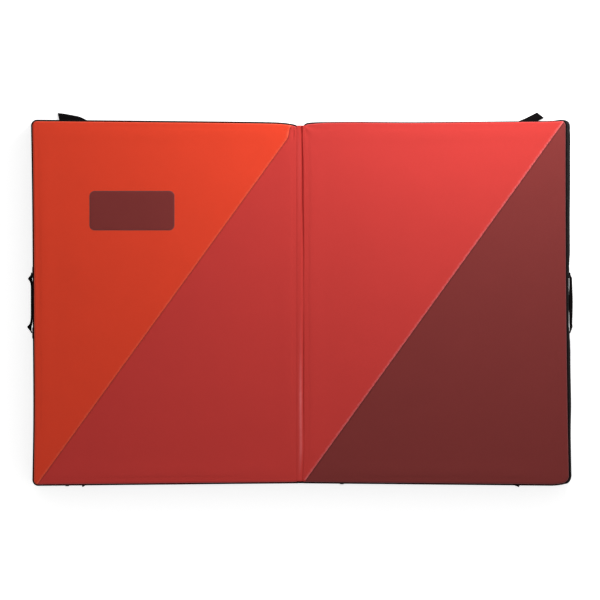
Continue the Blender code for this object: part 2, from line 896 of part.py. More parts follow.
def closure_hook(closure):
    """A flat steel hook on a loop that runs along its strap."""
    name = closure.name + "_hook"
    half = keeper_half_width
    throat = hook_length - hook_bar
    outline = (
        (0, -half), (hook_length, -half), (hook_length, half), (throat, half),
        (throat, hook_bar - half), (throat - hook_mouth, hook_bar - half),
        (throat - hook_mouth, half), (0, half),
    )
    bm = plate([outline], hook_plate, name)
    drop = keeper_play + keeper_wall
    bmesh.ops.translate(bm, verts=bm.verts[:], vec=(0, 0, -drop))
    hook = place(name, finish_mesh(bm, name), "steel", keeper_place(closure), closure.heading)
    loop_name = name + "_loop"
    loop_mesh = finish_mesh(keeper_bmesh(keeper_length, loop_name), loop_name)
    loop = bpy.data.objects.new(loop_name, loop_mesh)
    CUTTERS.objects.link(loop)
    loop.location = hook.location
    loop.rotation_euler = hook.rotation_euler
    loop.hide_render = True
    loop.display_type = "WIRE"
    join = hook.modifiers.new("loop", "BOOLEAN")
    join.operation = "UNION"
    join.object = loop


def closure_slider(closure):
    """A plastic slider: two loops and their side bars, with a window right through."""
    name = closure.name + "_slider"
    bm = keeper_bmesh(slider_length, name)
    slider = place(name, finish_mesh(bm, name), "black_plastic", keeper_place(closure),
                   closure.heading)
    half = webbing_width / 2 + keeper_play
    tall = keeper_play + keeper_wall + webbing_thickness
    cutter(name + "_window", (slider_bar, -half, -tall),
           (slider_length - slider_bar, half, 2 * tall), slider)


def harness_centre():
    """The middle line of the left panel."""
    return LEFT * panel_middle


def shoulder_line(share):
    """How far out a shoulder strap's middle runs at a share of its length."""
    straight = shoulder_root_across + (shoulder_foot_across - shoulder_root_across) * share
    return straight + shoulder_bulge * math.sin(math.pi * share)


def shoulder_breadth(share):
    """How wide a shoulder strap is at a share of its length."""
    return shoulder_width + (shoulder_foot_width - shoulder_width) * share


def padded_ring(station, middle, half, low, high):
    """A rounded oblong ring across a padded strap."""
    return [(station, middle + half * a, low + (high - low) * b) for a, b in pad_ring_shares]


def harness_dents():
    """The recess that the harness presses into the underside, as two oblongs."""
    centre = harness_centre()
    reach = max(shoulder_line(s) + shoulder_breadth(s) / 2 for s in shoulder_station_shares)
    wide = reach + recess_margin
    top = haul_root_along + haul_straight + haul_half_width + haul_radius + recess_margin
    foot = -shoulder_webbing_end - tab_length - recess_margin
    belt_wide = (belt_root_across + belt_wing_length + belt_webbing_length
                 + buckle_length + recess_margin)
    belt_high = belt_wing_width / 2 + recess_margin
    return [
        Dent(centre - wide, centre + wide, foot, top, recess_depth),
        Dent(centre - belt_wide, centre + belt_wide, -belt_along - belt_high,
             -belt_along + belt_high, recess_depth),
    ]


def sewn_tab(name, root, heading, half):
    """A flat tab sewn to the underside, which a harness piece hinges from."""
    mesh = box_mesh(name, (-tab_length, -half, 0), (0, half, tab_thickness))
    place(name, mesh, "black_webbing", root, heading)


def shoulder_strap(word, way):
    """One padded shoulder strap, its ladder lock and the webbing from below."""
    root = Vector((harness_centre() + way * shoulder_root_across, shoulder_root_along,
                   tab_level))
    heading = -math.pi / 2
    drop = tab_level - harness_floor_gap
    rings = []
    for share, swell in zip(shoulder_station_shares, shoulder_swell_shares):
        middle = way * (shoulder_line(share) - shoulder_root_across)
        station = fit_gap + share * shoulder_length
        rings.append(padded_ring(station, middle, shoulder_breadth(share) / 2,
                                 -drop * swell, webbing_thickness))
    bm = bmesh.new()
    skin(bm, rings)
    name = word + "_shoulder_strap"
    place(name, finish_mesh(bm, name), "black_cloth", root, heading)

    foot_x = harness_centre() + way * shoulder_foot_across
    foot_y = shoulder_root_along - shoulder_length - 2 * fit_gap
    half = keeper_half_width
    gap = (adjuster_length - 3 * slider_bar) / 2
    inside = webbing_width / 2 + keeper_play
    windows = [
        rectangle(slider_bar, slider_bar + gap, -inside, inside),
        rectangle(2 * slider_bar + gap, 2 * slider_bar + 2 * gap, -inside, inside),
    ]
    name = word + "_adjuster"
    bm = plate([rectangle(0, adjuster_length, -half, half)] + windows,
               adjuster_thickness, name)
    bmesh.ops.translate(bm, verts=bm.verts[:],
                        vec=(0, 0, webbing_thickness - adjuster_thickness))
    place(name, finish_mesh(bm, name), "black_plastic", (foot_x, foot_y, tab_level), heading)

    low_root = Vector((foot_x, -shoulder_webbing_end, tab_level))
    sewn_tab(word + "_webbing_tab", low_root, -heading, webbing_width / 2)
    length = foot_y - adjuster_length - fit_gap + shoulder_webbing_end
    name = word + "_shoulder_webbing"
    mesh = box_mesh(name, (fit_gap, -webbing_width / 2, 0),
                    (length, webbing_width / 2, webbing_thickness))
    place(name, mesh, "black_webbing", low_root, -heading)


def buckle_plug(name):
    """The pronged half of a side-release buckle, flat, with its webbing window."""
    half = buckle_width / 2
    base = buckle_length - buckle_mouth_depth - 2 * slider_bar
    root = base + slider_bar
    tip = buckle_length
    inner = half - buckle_wall - buckle_prong
    outer = half - buckle_wall
    guide = buckle_prong / 2
    bend = root + (tip - root) * prong_tip_share
    outline = (
        (0, -half), (base, -half), (root, -outer), (bend, -half), (tip - slider_bar, -inner),
        (bend, -inner), (root, -inner), (root, -guide), (tip - slider_bar, -guide),
        (tip - slider_bar, guide), (root, guide), (root, inner), (bend, inner),
        (tip - slider_bar, inner), (bend, half), (root, outer), (base, half), (0, half),
    )
    slot = rectangle(slider_bar, base - slider_bar / 2,
                     -webbing_width / 2 - keeper_play, webbing_width / 2 + keeper_play)
    thick = buckle_thickness - 2 * buckle_wall - 2 * fit_gap
    bm = plate([outline, slot], thick, name)
    bmesh.ops.translate(bm, verts=bm.verts[:], vec=(0, 0, webbing_thickness - thick))
    return bm


def buckle_socket(name, spot, heading):
    """The hollow half, with its mouth, side windows and webbing slot."""
    half = buckle_width / 2
    top = webbing_thickness
    low = top - buckle_thickness
    mesh = box_mesh(name, (0, -half, low), (buckle_length, half, top))
    socket = place(name, mesh, "black_plastic", spot, heading)
    mouth = buckle_length - buckle_mouth_depth
    over = buckle_wall
    cutter(name + "_mouth", (mouth, buckle_wall - half, low + buckle_wall),
           (buckle_length + over, half - buckle_wall, top - buckle_wall), socket)
    window = mouth + buckle_mouth_depth * side_window_share
    cutter(name + "_side_windows", (mouth + over, -half - over, low + buckle_wall),
           (window, half + over, top - buckle_wall), socket)
    cutter(name + "_slot", (slider_bar, -webbing_width / 2 - keeper_play, low - over),
           (mouth - slider_bar, webbing_width / 2 + keeper_play, top + over), socket)


def belt_wing(word, way):
    """One padded wing of the hip belt, with its webbing and half of the buckle."""
    root = Vector((harness_centre() + way * belt_root_across, -belt_along, tab_level))
    heading = 0.0 if way > 0 else math.pi
    drop = tab_level - harness_floor_gap
    rings = []
    for share, swell in zip(wing_station_shares, wing_swell_shares):
        breadth = belt_wing_width + (belt_tip_width - belt_wing_width) * share ** 2
        station = fit_gap + share * belt_wing_length
        rings.append(padded_ring(station, 0, breadth / 2, -drop * swell, webbing_thickness))
    bm = bmesh.new()
    skin(bm, rings)
    name = word + "_belt_wing"
    place(name, finish_mesh(bm, name), "black_cloth", root, heading)

    near = belt_wing_length + 2 * fit_gap
    far = near + belt_webbing_length
    name = word + "_belt_webbing"
    mesh = box_mesh(name, (near, -webbing_width / 2, 0),
                    (far, webbing_width / 2, webbing_thickness))
    place(name, mesh, "black_webbing", root, heading)
    spot = root + Vector((way * (far + fit_gap), 0, 0))
    if way < 0:
        buckle_socket("belt_buckle_socket", spot, heading)
    else:
        bm = buckle_plug("belt_buckle_plug")
        place("belt_buckle_plug", finish_mesh(bm, "belt_buckle_plug"), "black_plastic", spot,
              heading)


def sewn_band(name, low, high):
    """A flat band sewn to the underside between two corners on the plan."""
    mesh = box_mesh(name, (*low, tab_level), (*high, tab_level + tab_thickness))
    place(name, mesh, "black_webbing")


def belt_band():
    """The sewn band between the two wings of the belt."""
    centre = harness_centre()
    sewn_band("belt_band", (centre - belt_root_across, -belt_along - belt_wing_width / 2),
              (centre + belt_root_across, -belt_along + belt_wing_width / 2))


def yoke():
    """The sewn band that carries the shoulder straps and the haul loop."""
    centre = harness_centre()
    reach = shoulder_root_across + shoulder_width / 2
    sewn_band("harness_yoke", (centre - reach, shoulder_root_along),
              (centre + reach, haul_root_along))


def haul_loop():
    """The grab loop of rolled webbing at the harness's upper end."""
    root = Vector((harness_centre(), haul_root_along, tab_level))
    path = [(fit_gap, -haul_half_width, -haul_radius)]
    for step in range(haul_turn_steps + 1):
        angle = math.pi * (step / haul_turn_steps - 0.5)
        path.append((haul_straight + haul_half_width * math.cos(angle),
                     haul_half_width * math.sin(angle), -haul_radius))
    path.append((fit_gap, haul_half_width, -haul_radius))
    bm = tube(path, haul_radius, "haul_loop")
    place("haul_loop", finish_mesh(bm, "haul_loop"), "black_webbing", root, math.pi / 2)


def make_panel(side, word, cloths, dents):
    """One panel: its foam, its covers, its piping, its zip and its handle."""
    foam_base(side, word + "_foam_base", dents)
    foam_core(side, word + "_foam_core")
    foam_top(side, word + "_foam_top")
    bottom_cover(side, word + "_bottom_cover", dents)
    side_wall(side, word + "_side_wall")
    piping(side, word + "_top_piping", top_piping_level)
    piping(side, word + "_bottom_piping", low_piping_level)
    for part, finish, keep in cloths:
        landing_cloth(side, word + "_top_" + part, finish, keep)
    zip_parts(side, word)
    handle_patches(side, word)
    handle(side, word)


def make_pad():
    """The whole pad, from its two panels to its harness."""
    closures = closure_list()
    left_dents = [closure_dent(c) for c in closures if c.side == LEFT] + harness_dents()
    right_dents = [closure_dent(c) for c in closures if c.side == RIGHT]
    make_panel(LEFT, "left", (("orange", "orange_cloth", 1), ("red", "red_cloth", -1)),
               left_dents)
    make_panel(RIGHT, "right", (("red", "red_cloth", 1), ("maroon", "maroon_cloth", -1)),
               right_dents)
    hinge_web()
    blank_patch()
    for closure in closures:
        closure_strap(closure)
        if closure.side == LEFT:
            closure_hook(closure)
        else:
            closure_slider(closure)
    for word, way in (("outer", -1), ("inner", 1)):
        shoulder_strap(word, way)
        belt_wing(word, way)
    belt_band()
    yoke()
    haul_loop()


make_pad()
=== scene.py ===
import math

import bmesh
import bpy
import numpy as np
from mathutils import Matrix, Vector, noise
from mathutils.bvhtree import BVHTree


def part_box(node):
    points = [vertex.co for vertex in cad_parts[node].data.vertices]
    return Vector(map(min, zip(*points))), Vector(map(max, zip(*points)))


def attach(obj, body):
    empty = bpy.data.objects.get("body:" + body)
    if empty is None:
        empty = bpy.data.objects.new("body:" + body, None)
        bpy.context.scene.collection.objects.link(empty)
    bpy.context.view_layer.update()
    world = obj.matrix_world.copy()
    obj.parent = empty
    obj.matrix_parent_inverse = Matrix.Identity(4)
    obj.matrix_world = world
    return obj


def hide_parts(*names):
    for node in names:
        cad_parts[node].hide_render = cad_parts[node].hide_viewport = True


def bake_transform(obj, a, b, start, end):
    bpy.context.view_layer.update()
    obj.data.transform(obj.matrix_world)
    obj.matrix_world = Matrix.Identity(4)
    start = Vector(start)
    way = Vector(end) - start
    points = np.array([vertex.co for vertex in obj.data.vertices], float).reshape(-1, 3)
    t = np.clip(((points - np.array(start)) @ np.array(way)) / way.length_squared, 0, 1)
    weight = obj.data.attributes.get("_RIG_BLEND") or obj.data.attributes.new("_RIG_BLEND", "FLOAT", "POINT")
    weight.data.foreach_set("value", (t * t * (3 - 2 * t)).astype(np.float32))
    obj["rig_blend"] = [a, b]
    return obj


# Lengths are in metres. X runs across the fold, Y along it, and Z up from the floor.
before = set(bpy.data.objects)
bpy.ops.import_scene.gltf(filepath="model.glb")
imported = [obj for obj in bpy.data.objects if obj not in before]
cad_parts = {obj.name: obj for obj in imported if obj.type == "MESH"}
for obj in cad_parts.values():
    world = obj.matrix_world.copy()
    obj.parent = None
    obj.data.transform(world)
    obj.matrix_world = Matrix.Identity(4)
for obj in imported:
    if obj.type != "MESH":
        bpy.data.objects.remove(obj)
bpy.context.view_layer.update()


# The foam
# Each panel holds a closed-cell sheet below, a thick open-cell block, and a closed-cell
# sheet on top that spreads a fall. They are cut from slabs and lie loose in the cover.

SIDES = ("left", "right")
SIGN = {"left": -1, "right": 1}
half_length = 0.825
half_width = 0.560
half_fold_gap = 0.003
fold_draw_in = 0.008
end_draws_in = {"left": 0.0055, "right": 0.0040}
left_end_skew = 0.0042
fold_sag = 0.0042
fold_sag_reach = 0.036
long_edge_sag = 0.0032
corner_sag = 0.0045
corner_from, corner_over = 0.44, 0.10
sag_from, sag_to = 0.12, 0.805
corner_radii = {"outer": 0.019, "worn": 0.028, "upper_fold": 0.018, "lower_fold": 0.007}
fold_drops = {"left": (0.0065, 0.040), "right": (0.0105, 0.0135)}
outline_step = 0.009
corner_steps = 9
lean_middle = 0.0055
lean_slope = 0.0090
lean_from_x, lean_over_x = 0.7775, 0.045
lean_from_z, lean_over_z = 0.062, 0.048
grey_foam_colour = (0.110, 0.115, 0.120)
pale_foam_colour = (0.640, 0.600, 0.480)
foam_cell_scale = 700.0
foam_inset = 0.0070
foam_edge = 0.0050
foam_nick = 0.0005
foam_top_level = 0.1186
foam_clearance = 0.0005
piping_radius = 0.0025
cloth_thickness = 0.0010
cover_band = 0.014
cover_pitch = 0.009
foam_rim_pitch = 0.0019
roll_reach = 0.0125
under_roll = 0.0085
recess_depth = 0.0140
harness_well = (-0.5992, -0.2288, -0.2650, 0.4298)
belt_well = (-0.7670, -0.0610, -0.3530, -0.2170)
hollow_slope = 0.015
hollow_margin = 0.031
cloth_ripple = 0.0004
strap_trim = 0.011


def smooth(share):
    """An even ease from 0 to 1."""
    share = min(max(share, 0.0), 1.0)
    return share * share * (3 - 2 * share)


def rim_lean(x, y, z):
    """How far the right end's upper rim has rolled in over the foam."""
    return (max(0.0, lean_middle + lean_slope * y)
            * smooth((x - lean_from_x) / lean_over_x) * smooth((z - lean_from_z) / lean_over_z))


def node(tree, kind, inputs=None, **settings):
    """Adds a shader node, sets its options, and links or sets its inputs."""
    made = tree.nodes.new("ShaderNode" + kind)
    for name, value in settings.items():
        setattr(made, name, value)
    for key, value in (inputs or {}).items():
        if isinstance(value, bpy.types.NodeSocket):
            tree.links.new(value, made.inputs[key])
        else:
            made.inputs[key].default_value = value
    return made


def calc(tree, operation, *values):
    """One step of arithmetic."""
    return node(tree, "Math", dict(enumerate(values)), operation=operation).outputs[0]


def blend_colours(tree, factor, first, second, blend_type="MIX"):
    """Two colours mixed by a factor."""
    return node(tree, "Mix", {0: factor, 6: first, 7: second}, data_type="RGBA",
                blend_type=blend_type).outputs[2]


def cloudy(tree, place, scale, detail, roughness=0.5):
    """A cloudy noise over a place."""
    return node(tree, "TexNoise", {"Vector": place, "Scale": scale, "Detail": detail,
                                   "Roughness": roughness}).outputs["Fac"]


def opaque(colour, share=1.0):
    """A colour with full alpha, dimmed to a share of its light."""
    return (*(c * share for c in colour), 1.0)


def new_material(name, **plain):
    """A Principled material with its plain values set on the shader's own sockets."""
    material = bpy.data.materials.new(name)
    material.use_nodes = True
    tree = material.node_tree
    shader = tree.nodes["Principled BSDF"]
    for key, value in plain.items():
        shader.inputs[key.replace("_", " ")].default_value = value
    return material, tree, shader


def connect(tree, shader, colour, height, depth, strength=1.0, roughness=None):
    """Feeds a shader its changing colour, bump and roughness."""
    bump = node(tree, "Bump", {"Height": height, "Distance": depth, "Strength": strength})
    tree.links.new(colour, shader.inputs["Base Color"])
    tree.links.new(bump.outputs[0], shader.inputs["Normal"])
    if roughness:
        tree.links.new(roughness, shader.inputs["Roughness"])


def add_piece(name, mesh, material, body, slot, *nodes):
    """Links a mesh as a piece of one material that stands for some nodes and may ride on a body."""
    piece = bpy.data.objects.new(name, mesh)
    bpy.context.scene.collection.objects.link(piece)
    mesh.materials.append(material)
    if body:
        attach(piece, body)
    if nodes:
        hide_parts(*nodes)
    return piece


def finished_mesh(name, bm, degrees=None, turned_out=True):
    """A smooth mesh from a bmesh, with edges sharper than an angle kept crisp."""
    if turned_out:
        bmesh.ops.recalc_face_normals(bm, faces=bm.faces[:])
    mesh = bpy.data.meshes.new(name)
    bm.to_mesh(mesh)
    bm.free()
    mesh.shade_smooth()
    if degrees:
        mesh.set_sharp_from_angle(angle=math.radians(degrees))
    return mesh


def skin(bm, lines, flip=False):
    """Fills in the quads between neighbouring lines of points."""
    for first, second in zip(lines, lines[1:]):
        for step in range(len(first) - 1):
            quad = (first[step], second[step], second[step + 1], first[step + 1])
            bm.faces.new(quad[::-1] if flip else quad)


def foam_material(name, colour, cell_scale):
    """Cut foam: open cells in relief and a slow change of tone."""
    material, tree, shader = new_material(name, Roughness=0.95, Sheen_Weight=0.15)
    place = node(tree, "TexCoord").outputs["Object"]
    cells = node(tree, "TexVoronoi", {"Vector": place, "Scale": cell_scale}).outputs["Distance"]
    shade = calc(tree, "MULTIPLY", cells, cloudy(tree, place, 30.0, 4.0))
    mixed = blend_colours(tree, shade, opaque(colour, 0.72), opaque(colour))
    connect(tree, shader, mixed, cells, 0.0008)
    return material


def corner_of(side, outer, row):
    """The plan radius of one corner of a panel, its edge, and the way out over that edge."""
    if outer:
        worn = side == "right" and row < 0
        return corner_radii["worn" if worn else "outer"], half_length, 1
    return corner_radii["upper_fold" if row > 0 else "lower_fold"], half_fold_gap, -1


def on_plan(side, across, along):
    """Tapers a panel towards the fold, draws in its short end and sinks its upper corner."""
    share = across / half_length
    y = along * (1 - fold_draw_in / half_width * (1 - share))
    bow = end_draws_in[side] * (1 - (along / half_width) ** 2) * share ** 2
    if side == "left":
        bow += left_end_skew * smooth(-along / 0.40) * share ** 2
    drop, reach = fold_drops[side]
    sunk = drop * math.exp(-across / reach)
    if side == "left":
        sunk += fold_sag * math.exp(-(across / fold_sag_reach) ** 2)
    else:
        sunk += (long_edge_sag * smooth((across - sag_from) / 0.25)
                 * smooth((sag_to - across) / 0.05))
        y += (corner_sag * smooth((across - 0.765) / 0.05)
              * smooth((-along - corner_from) / corner_over))
    y -= sunk * smooth((along - corner_from) / corner_over)
    return SIGN[side] * (across - bow), y


def evenly(first, last):
    """Points at even steps between two places, without either."""
    count = max(1, round(math.dist(first, last) / outline_step))
    return [tuple(a + (b - a) * step / count for a, b in zip(first, last))
            for step in range(1, count)]


def outline(side, inset):
    """Plan points round a panel from the upper fold corner by the outer end, in order."""
    arcs = []
    for outer, row in ((False, 1), (True, 1), (True, -1), (False, -1)):
        radius, edge, way = corner_of(side, outer, row)
        turns = [math.pi / 2 * step / corner_steps for step in range(corner_steps + 1)]
        if way == row:
            turns.reverse()
        arcs.append([(edge - way * radius + way * (radius - inset) * math.cos(turn),
                      row * (half_width - radius) + row * (radius - inset) * math.sin(turn))
                     for turn in turns])
    points = []
    for arc, after in zip(arcs, arcs[1:] + arcs[:1]):
        points += arc + evenly(arc[-1], after[0])
    return [Vector((*on_plan(side, *point), 0)) for point in points]


def into_corner(a, b):
    """A point of a square carried into a round corner of radius one."""
    return a * math.sqrt(max(0.0, 1 - b * b / 2)), b * math.sqrt(max(0.0, 1 - a * a / 2))


def panel_point(side, across, along, inset):
    """Where a grid point of a panel lies on the plan, and how deep inside the rim."""
    row = 1 if along > 0 else -1
    radius, edge, way = corner_of(side, across > (half_length + half_fold_gap) / 2, row)
    over_x = way * (across - edge) + radius
    over_y = abs(along) - half_width + radius
    depth = min(way * (edge - across), half_width - abs(along))
    if over_x > 0 and over_y > 0:
        border = radius - inset
        a, b = into_corner(over_x / border, over_y / border)
        across = edge + way * (a * border - radius)
        along = row * (half_width - radius + b * border)
        depth = radius - math.hypot(a, b) * border
    x, y = on_plan(side, across, along)
    return x, y, depth


def grid_lines(low, high, inset, fine, coarse, band):
    """Grid lines from rim to rim, close together in a band along both rims."""
    rim = np.linspace(inset, inset + band, max(1, round(band / fine)) + 1)
    span = high - low - 2 * (inset + band)
    middle = np.linspace(low + inset + band, high - inset - band, max(1, round(span / coarse)) + 1)
    return np.concatenate([low + rim, middle[1:-1], high - rim[::-1]])


def panel_sheet(side, inset, fine, coarse, band, height):
    """A fine open grid over a panel, as a bmesh with its faces up."""
    columns = grid_lines(half_fold_gap, half_length, inset, fine, coarse, band)
    rows = grid_lines(-half_width, half_width, inset, fine, coarse, band)
    bm = bmesh.new()
    inside = bm.verts.layers.float.new("inside")
    made = []
    for across in columns:
        line = []
        for along in rows:
            x, y, depth = panel_point(side, across, along, inset)
            z = height(x, y, depth, SIGN[side] * across, along)
            vert = bm.verts.new((x - rim_lean(x, y, z), y, z))
            vert[inside] = depth - inset
            line.append(vert)
        made.append(line)
    skin(bm, made, flip=side == "left")
    return bm


def roll_share(depth, inset, reach=roll_reach):
    """How far up its edge roll a point is: 0 at the rim and 1 on the flat."""
    share = min(max((depth - inset) / reach, 0.0), 1.0)
    return math.sin(math.acos(1 - share))


def strap_hollow(corner):
    """The hollow round one closing strap, from the boxes of its tab and its strap."""
    boxes = [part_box(corner + "_strap_tab"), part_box(corner + "_strap")]
    low_x, low_y = (min(low[i] for low, _ in boxes) + strap_trim for i in range(2))
    high_x, high_y = (max(high[i] for _, high in boxes) - strap_trim for i in range(2))
    if corner.startswith("upper"):
        high_y = max(high_y, half_width + hollow_slope)
    else:
        low_y = min(low_y, -half_width - hollow_slope)
    return (low_x - hollow_margin, high_x + hollow_margin,
            low_y - hollow_margin, high_y + hollow_margin, under_roll)


hollows = {"left": [(*harness_well, recess_depth), (*belt_well, recess_depth)], "right": []}
for side in SIDES:
    hollows[side] += [strap_hollow("upper_" + side), strap_hollow("lower_" + side)]


def underside_height(side, inset):
    """How high the cover stands over the floor at a point of a panel."""

    def height(x, y, depth, square_x, square_y):
        level = under_roll * (1 - roll_share(depth, inset))
        for low_x, high_x, low_y, high_y, tall in hollows[side]:
            inside = min(square_x - low_x, high_x - square_x, square_y - low_y, high_y - square_y)
            level = max(level, tall * smooth(inside / hollow_slope))
        ripple = noise.noise((x * 14, y * 14, 3.0)) * cloth_ripple
        return level + max(0.0, ripple) * (level < under_roll / 4)

    return height


def sheet_below(side, name):
    """The foam sheet next to the ground, pressed in over the straps and the harness."""
    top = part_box(side + "_foam_base")[1].z
    cover = underside_height(side, piping_radius)

    def height(*place):
        return cover(*place) + cloth_thickness + foam_clearance

    def rim():
        return [edge for edge in bm.edges if edge.is_boundary]

    band = piping_radius + cover_band - foam_inset
    bm = panel_sheet(side, foam_inset, foam_rim_pitch, cover_pitch, band, height)
    for part in bmesh.ops.extrude_edge_only(bm, edges=rim())["geom"]:
        if isinstance(part, bmesh.types.BMVert):
            part.co.z = top
    bmesh.ops.edgeloop_fill(bm, edges=rim())
    return finished_mesh(name, bm, 50.0)


def foam_slab(side, layer, name):
    """The foam block or the sheet above it, cut to the panel's plan with crushed edges."""
    low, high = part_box(f"{side}_foam_{layer}")
    foot, top = low.z, min(high.z, foam_top_level)
    rings = [(foam_nick, foot), (0.0, foot + foam_nick)]
    if layer == "top":
        rings += [(0.0, top - foam_edge), (foam_edge * 0.3, top - foam_edge * 0.3),
                  (foam_edge, top)]
    else:
        rings += [(0.0, top - foam_nick), (foam_nick, top)]
    bm = bmesh.new()
    made = [[bm.verts.new((p.x - rim_lean(p.x, p.y, z), p.y, z))
             for p in outline(side, foam_inset + inset)] for inset, z in rings]
    skin(bm, [ring + ring[:1] for ring in made])
    bm.faces.new(made[0])
    bm.faces.new(made[-1])
    return finished_mesh(name, bm, 50.0)


grey_foam = foam_material("closed_cell_foam", grey_foam_colour, foam_cell_scale * 2)
pale_foam = foam_material("open_cell_foam", pale_foam_colour, foam_cell_scale)

for side in SIDES:
    for layer, word, foam, slot in (
        ("base", "sheet_below", grey_foam, "grey_foam"),
        ("core", "block", pale_foam, "pale_foam"),
        ("top", "sheet_above", grey_foam, "grey_foam"),
    ):
        cad_node = f"{side}_foam_{layer}"
        name = f"{side}_foam_{word}"
        mesh = sheet_below(side, name) if layer == "base" else foam_slab(side, layer, name)
        slab = add_piece(name, mesh, foam, side + "_panel", slot, cad_node)


# The bottom cover
# The face that lies on the ground is one piece of coated ballistic cloth a panel. It is
# cut with rounded corners, and the straps and the harness lie in hollows pressed into it.

ground_cloth_rim_pitch = 0.0015
black_cloth_colour = (0.0072, 0.0058, 0.0062)
dust_colour = (0.30, 0.27, 0.23)
WHITE = (1.0, 1.0, 1.0, 1.0)


def new_group(name, takes, gives):
    """An empty shader group, what it is given inside, and where its results go."""
    tree = bpy.data.node_groups.new(name, "ShaderNodeTree")
    for label, kind, value in takes:
        socket = tree.interface.new_socket(label, in_out="INPUT",
                                           socket_type="NodeSocket" + kind)
        socket.default_value = value
    for label, kind in gives:
        tree.interface.new_socket(label, in_out="OUTPUT", socket_type="NodeSocket" + kind)
    given = tree.nodes.new("NodeGroupInput").outputs
    return tree, given, tree.nodes.new("NodeGroupOutput").inputs


def toned(tree, colour, tone):
    """A colour made lighter or darker by a tone."""
    level = node(tree, "CombineXYZ", {0: tone, 1: tone, 2: tone}).outputs[0]
    return blend_colours(tree, 1.0, colour, level, "MULTIPLY")


def choose(tree, pick, first, second):
    """The second value where a pick is 1, and the first where it is 0."""
    kept = calc(tree, "MULTIPLY", first, calc(tree, "SUBTRACT", 1.0, pick))
    return calc(tree, "ADD", kept, calc(tree, "MULTIPLY", second, pick))


def plain_weave():
    """Threads that cross over and under, laid on whichever plane a face lies nearest."""
    tree, given, result = new_group(
        "plain_weave",
        [("Color", "Color", WHITE), ("Threads", "Float", 1100.0),
         ("Gap", "Float", 0.25), ("Slub", "Float", 0.06)],
        [("Color", "Color"), ("Height", "Float")],
    )
    coords = node(tree, "TexCoord").outputs
    x, y, z = node(tree, "SeparateXYZ", {0: coords["Object"]}).outputs
    facing = node(tree, "SeparateXYZ", {0: coords["Normal"]}).outputs
    nearly_square = 0.7
    on_end = calc(tree, "GREATER_THAN", calc(tree, "ABSOLUTE", facing[0]), nearly_square)
    on_wall = calc(tree, "LESS_THAN", calc(tree, "ABSOLUTE", facing[2]), nearly_square)
    rate = calc(tree, "MULTIPLY", given["Threads"], math.pi)
    warp, weft = [calc(tree, "SINE", calc(tree, "MULTIPLY", place, rate)) for place in
                  (choose(tree, on_end, x, y), choose(tree, on_wall, y, z))]
    over = calc(tree, "GREATER_THAN", calc(tree, "MULTIPLY", warp, weft), 0.0)
    thread = choose(tree, over, calc(tree, "ABSOLUTE", warp), calc(tree, "ABSOLUTE", weft))
    slub = calc(tree, "SUBTRACT", cloudy(tree, coords["Object"], 420.0, 2.0), 0.5)
    gap = calc(tree, "MULTIPLY", calc(tree, "SUBTRACT", 1.0, thread), given["Gap"])
    tone = calc(tree, "ADD", calc(tree, "SUBTRACT", 1.0, gap),
                calc(tree, "MULTIPLY", slub, given["Slub"]))
    tree.links.new(toned(tree, given["Color"], tone), result["Color"])
    tree.links.new(thread, result["Height"])
    return tree


def dye_and_dust():
    """A slow unevenness of the dye, fine specks, and dust that dulls the cloth."""
    tree, given, result = new_group(
        "dye_and_dust",
        [("Color", "Color", WHITE), ("Dust Color", "Color", opaque(dust_colour)),
         ("Tone", "Float", 0.05), ("Dust", "Float", 0.05), ("Roughness", "Float", 0.8)],
        [("Color", "Color"), ("Roughness", "Float")],
    )
    place = node(tree, "TexCoord").outputs["Object"]
    speck = cloudy(tree, place, 160.0, 3.0, 0.7)
    dusty = cloudy(tree, place, 26.0, 8.0, 0.75)
    both = calc(tree, "ADD", cloudy(tree, place, 9.0, 3.0), speck)
    swing = calc(tree, "MULTIPLY", calc(tree, "SUBTRACT", both, 1.0), given["Tone"])
    dyed = toned(tree, given["Color"], calc(tree, "ADD", 1.0, swing))
    cover = calc(tree, "MULTIPLY", calc(tree, "POWER", dusty, 3.0), given["Dust"])
    tree.links.new(blend_colours(tree, cover, dyed, given["Dust Color"]), result["Color"])
    grain = calc(tree, "MULTIPLY", calc(tree, "SUBTRACT", speck, 0.5), 0.2)
    tree.links.new(calc(tree, "ADD", given["Roughness"], grain), result["Roughness"])
    return tree


weave = plain_weave()
wear = dye_and_dust()


def cloth_material(name, colour, threads, roughness, sheen, tone, dust, relief=0.00018,
                   shine=0.20, painted_light=None):
    """Woven cloth with its own thread count, dye and dust, painted paler along its rim and seams as a
    highlight and darker beside seams and creases as shade.
    """
    material, tree, shader = new_material(name, Sheen_Weight=sheen, Sheen_Roughness=0.45,
                                          Specular_IOR_Level=shine)
    woven = node(tree, "Group", {"Color": opaque(colour), "Threads": threads}, node_tree=weave)
    dyed = node(tree, "Group", {"Color": woven.outputs["Color"], "Tone": tone, "Dust": dust,
                                "Roughness": roughness}, node_tree=wear)
    shown = dyed.outputs["Color"]
    # Painted light from a per-point mark: positive values blend towards a paler colour as a painted
    # highlight, negative values towards a darker one as painted shade.
    if painted_light:
        painted_light_mark = node(tree, "Attribute", attribute_name="painted_light").outputs["Fac"]
        patchy = cloudy(tree, node(tree, "TexCoord").outputs["Object"], 60.0, 5.0)
        pale = calc(tree, "MULTIPLY", calc(tree, "MAXIMUM", painted_light_mark, 0.0),
                    calc(tree, "ADD", 0.45, patchy))
        dark = calc(tree, "MAXIMUM", calc(tree, "MULTIPLY", painted_light_mark, -1.0), 0.0)
        shown = blend_colours(tree, pale, shown, opaque(painted_light))
        shown = blend_colours(tree, dark, shown, opaque(colour, 0.35))
    connect(tree, shader, shown, woven.outputs["Height"], relief, 0.8,
            dyed.outputs["Roughness"])
    return material


black_cloth = cloth_material("ballistic_cloth", black_cloth_colour, 800.0, 0.80, 0.0,
                             0.16, 0.010, 0.0003, shine=0.05)


def shell(piece, thickness=cloth_thickness):
    """Gives a sheet its thickness on its hidden side."""
    made = piece.modifiers.new("thickness", "SOLIDIFY")
    made.thickness = thickness
    made.offset = -1.0
    return piece


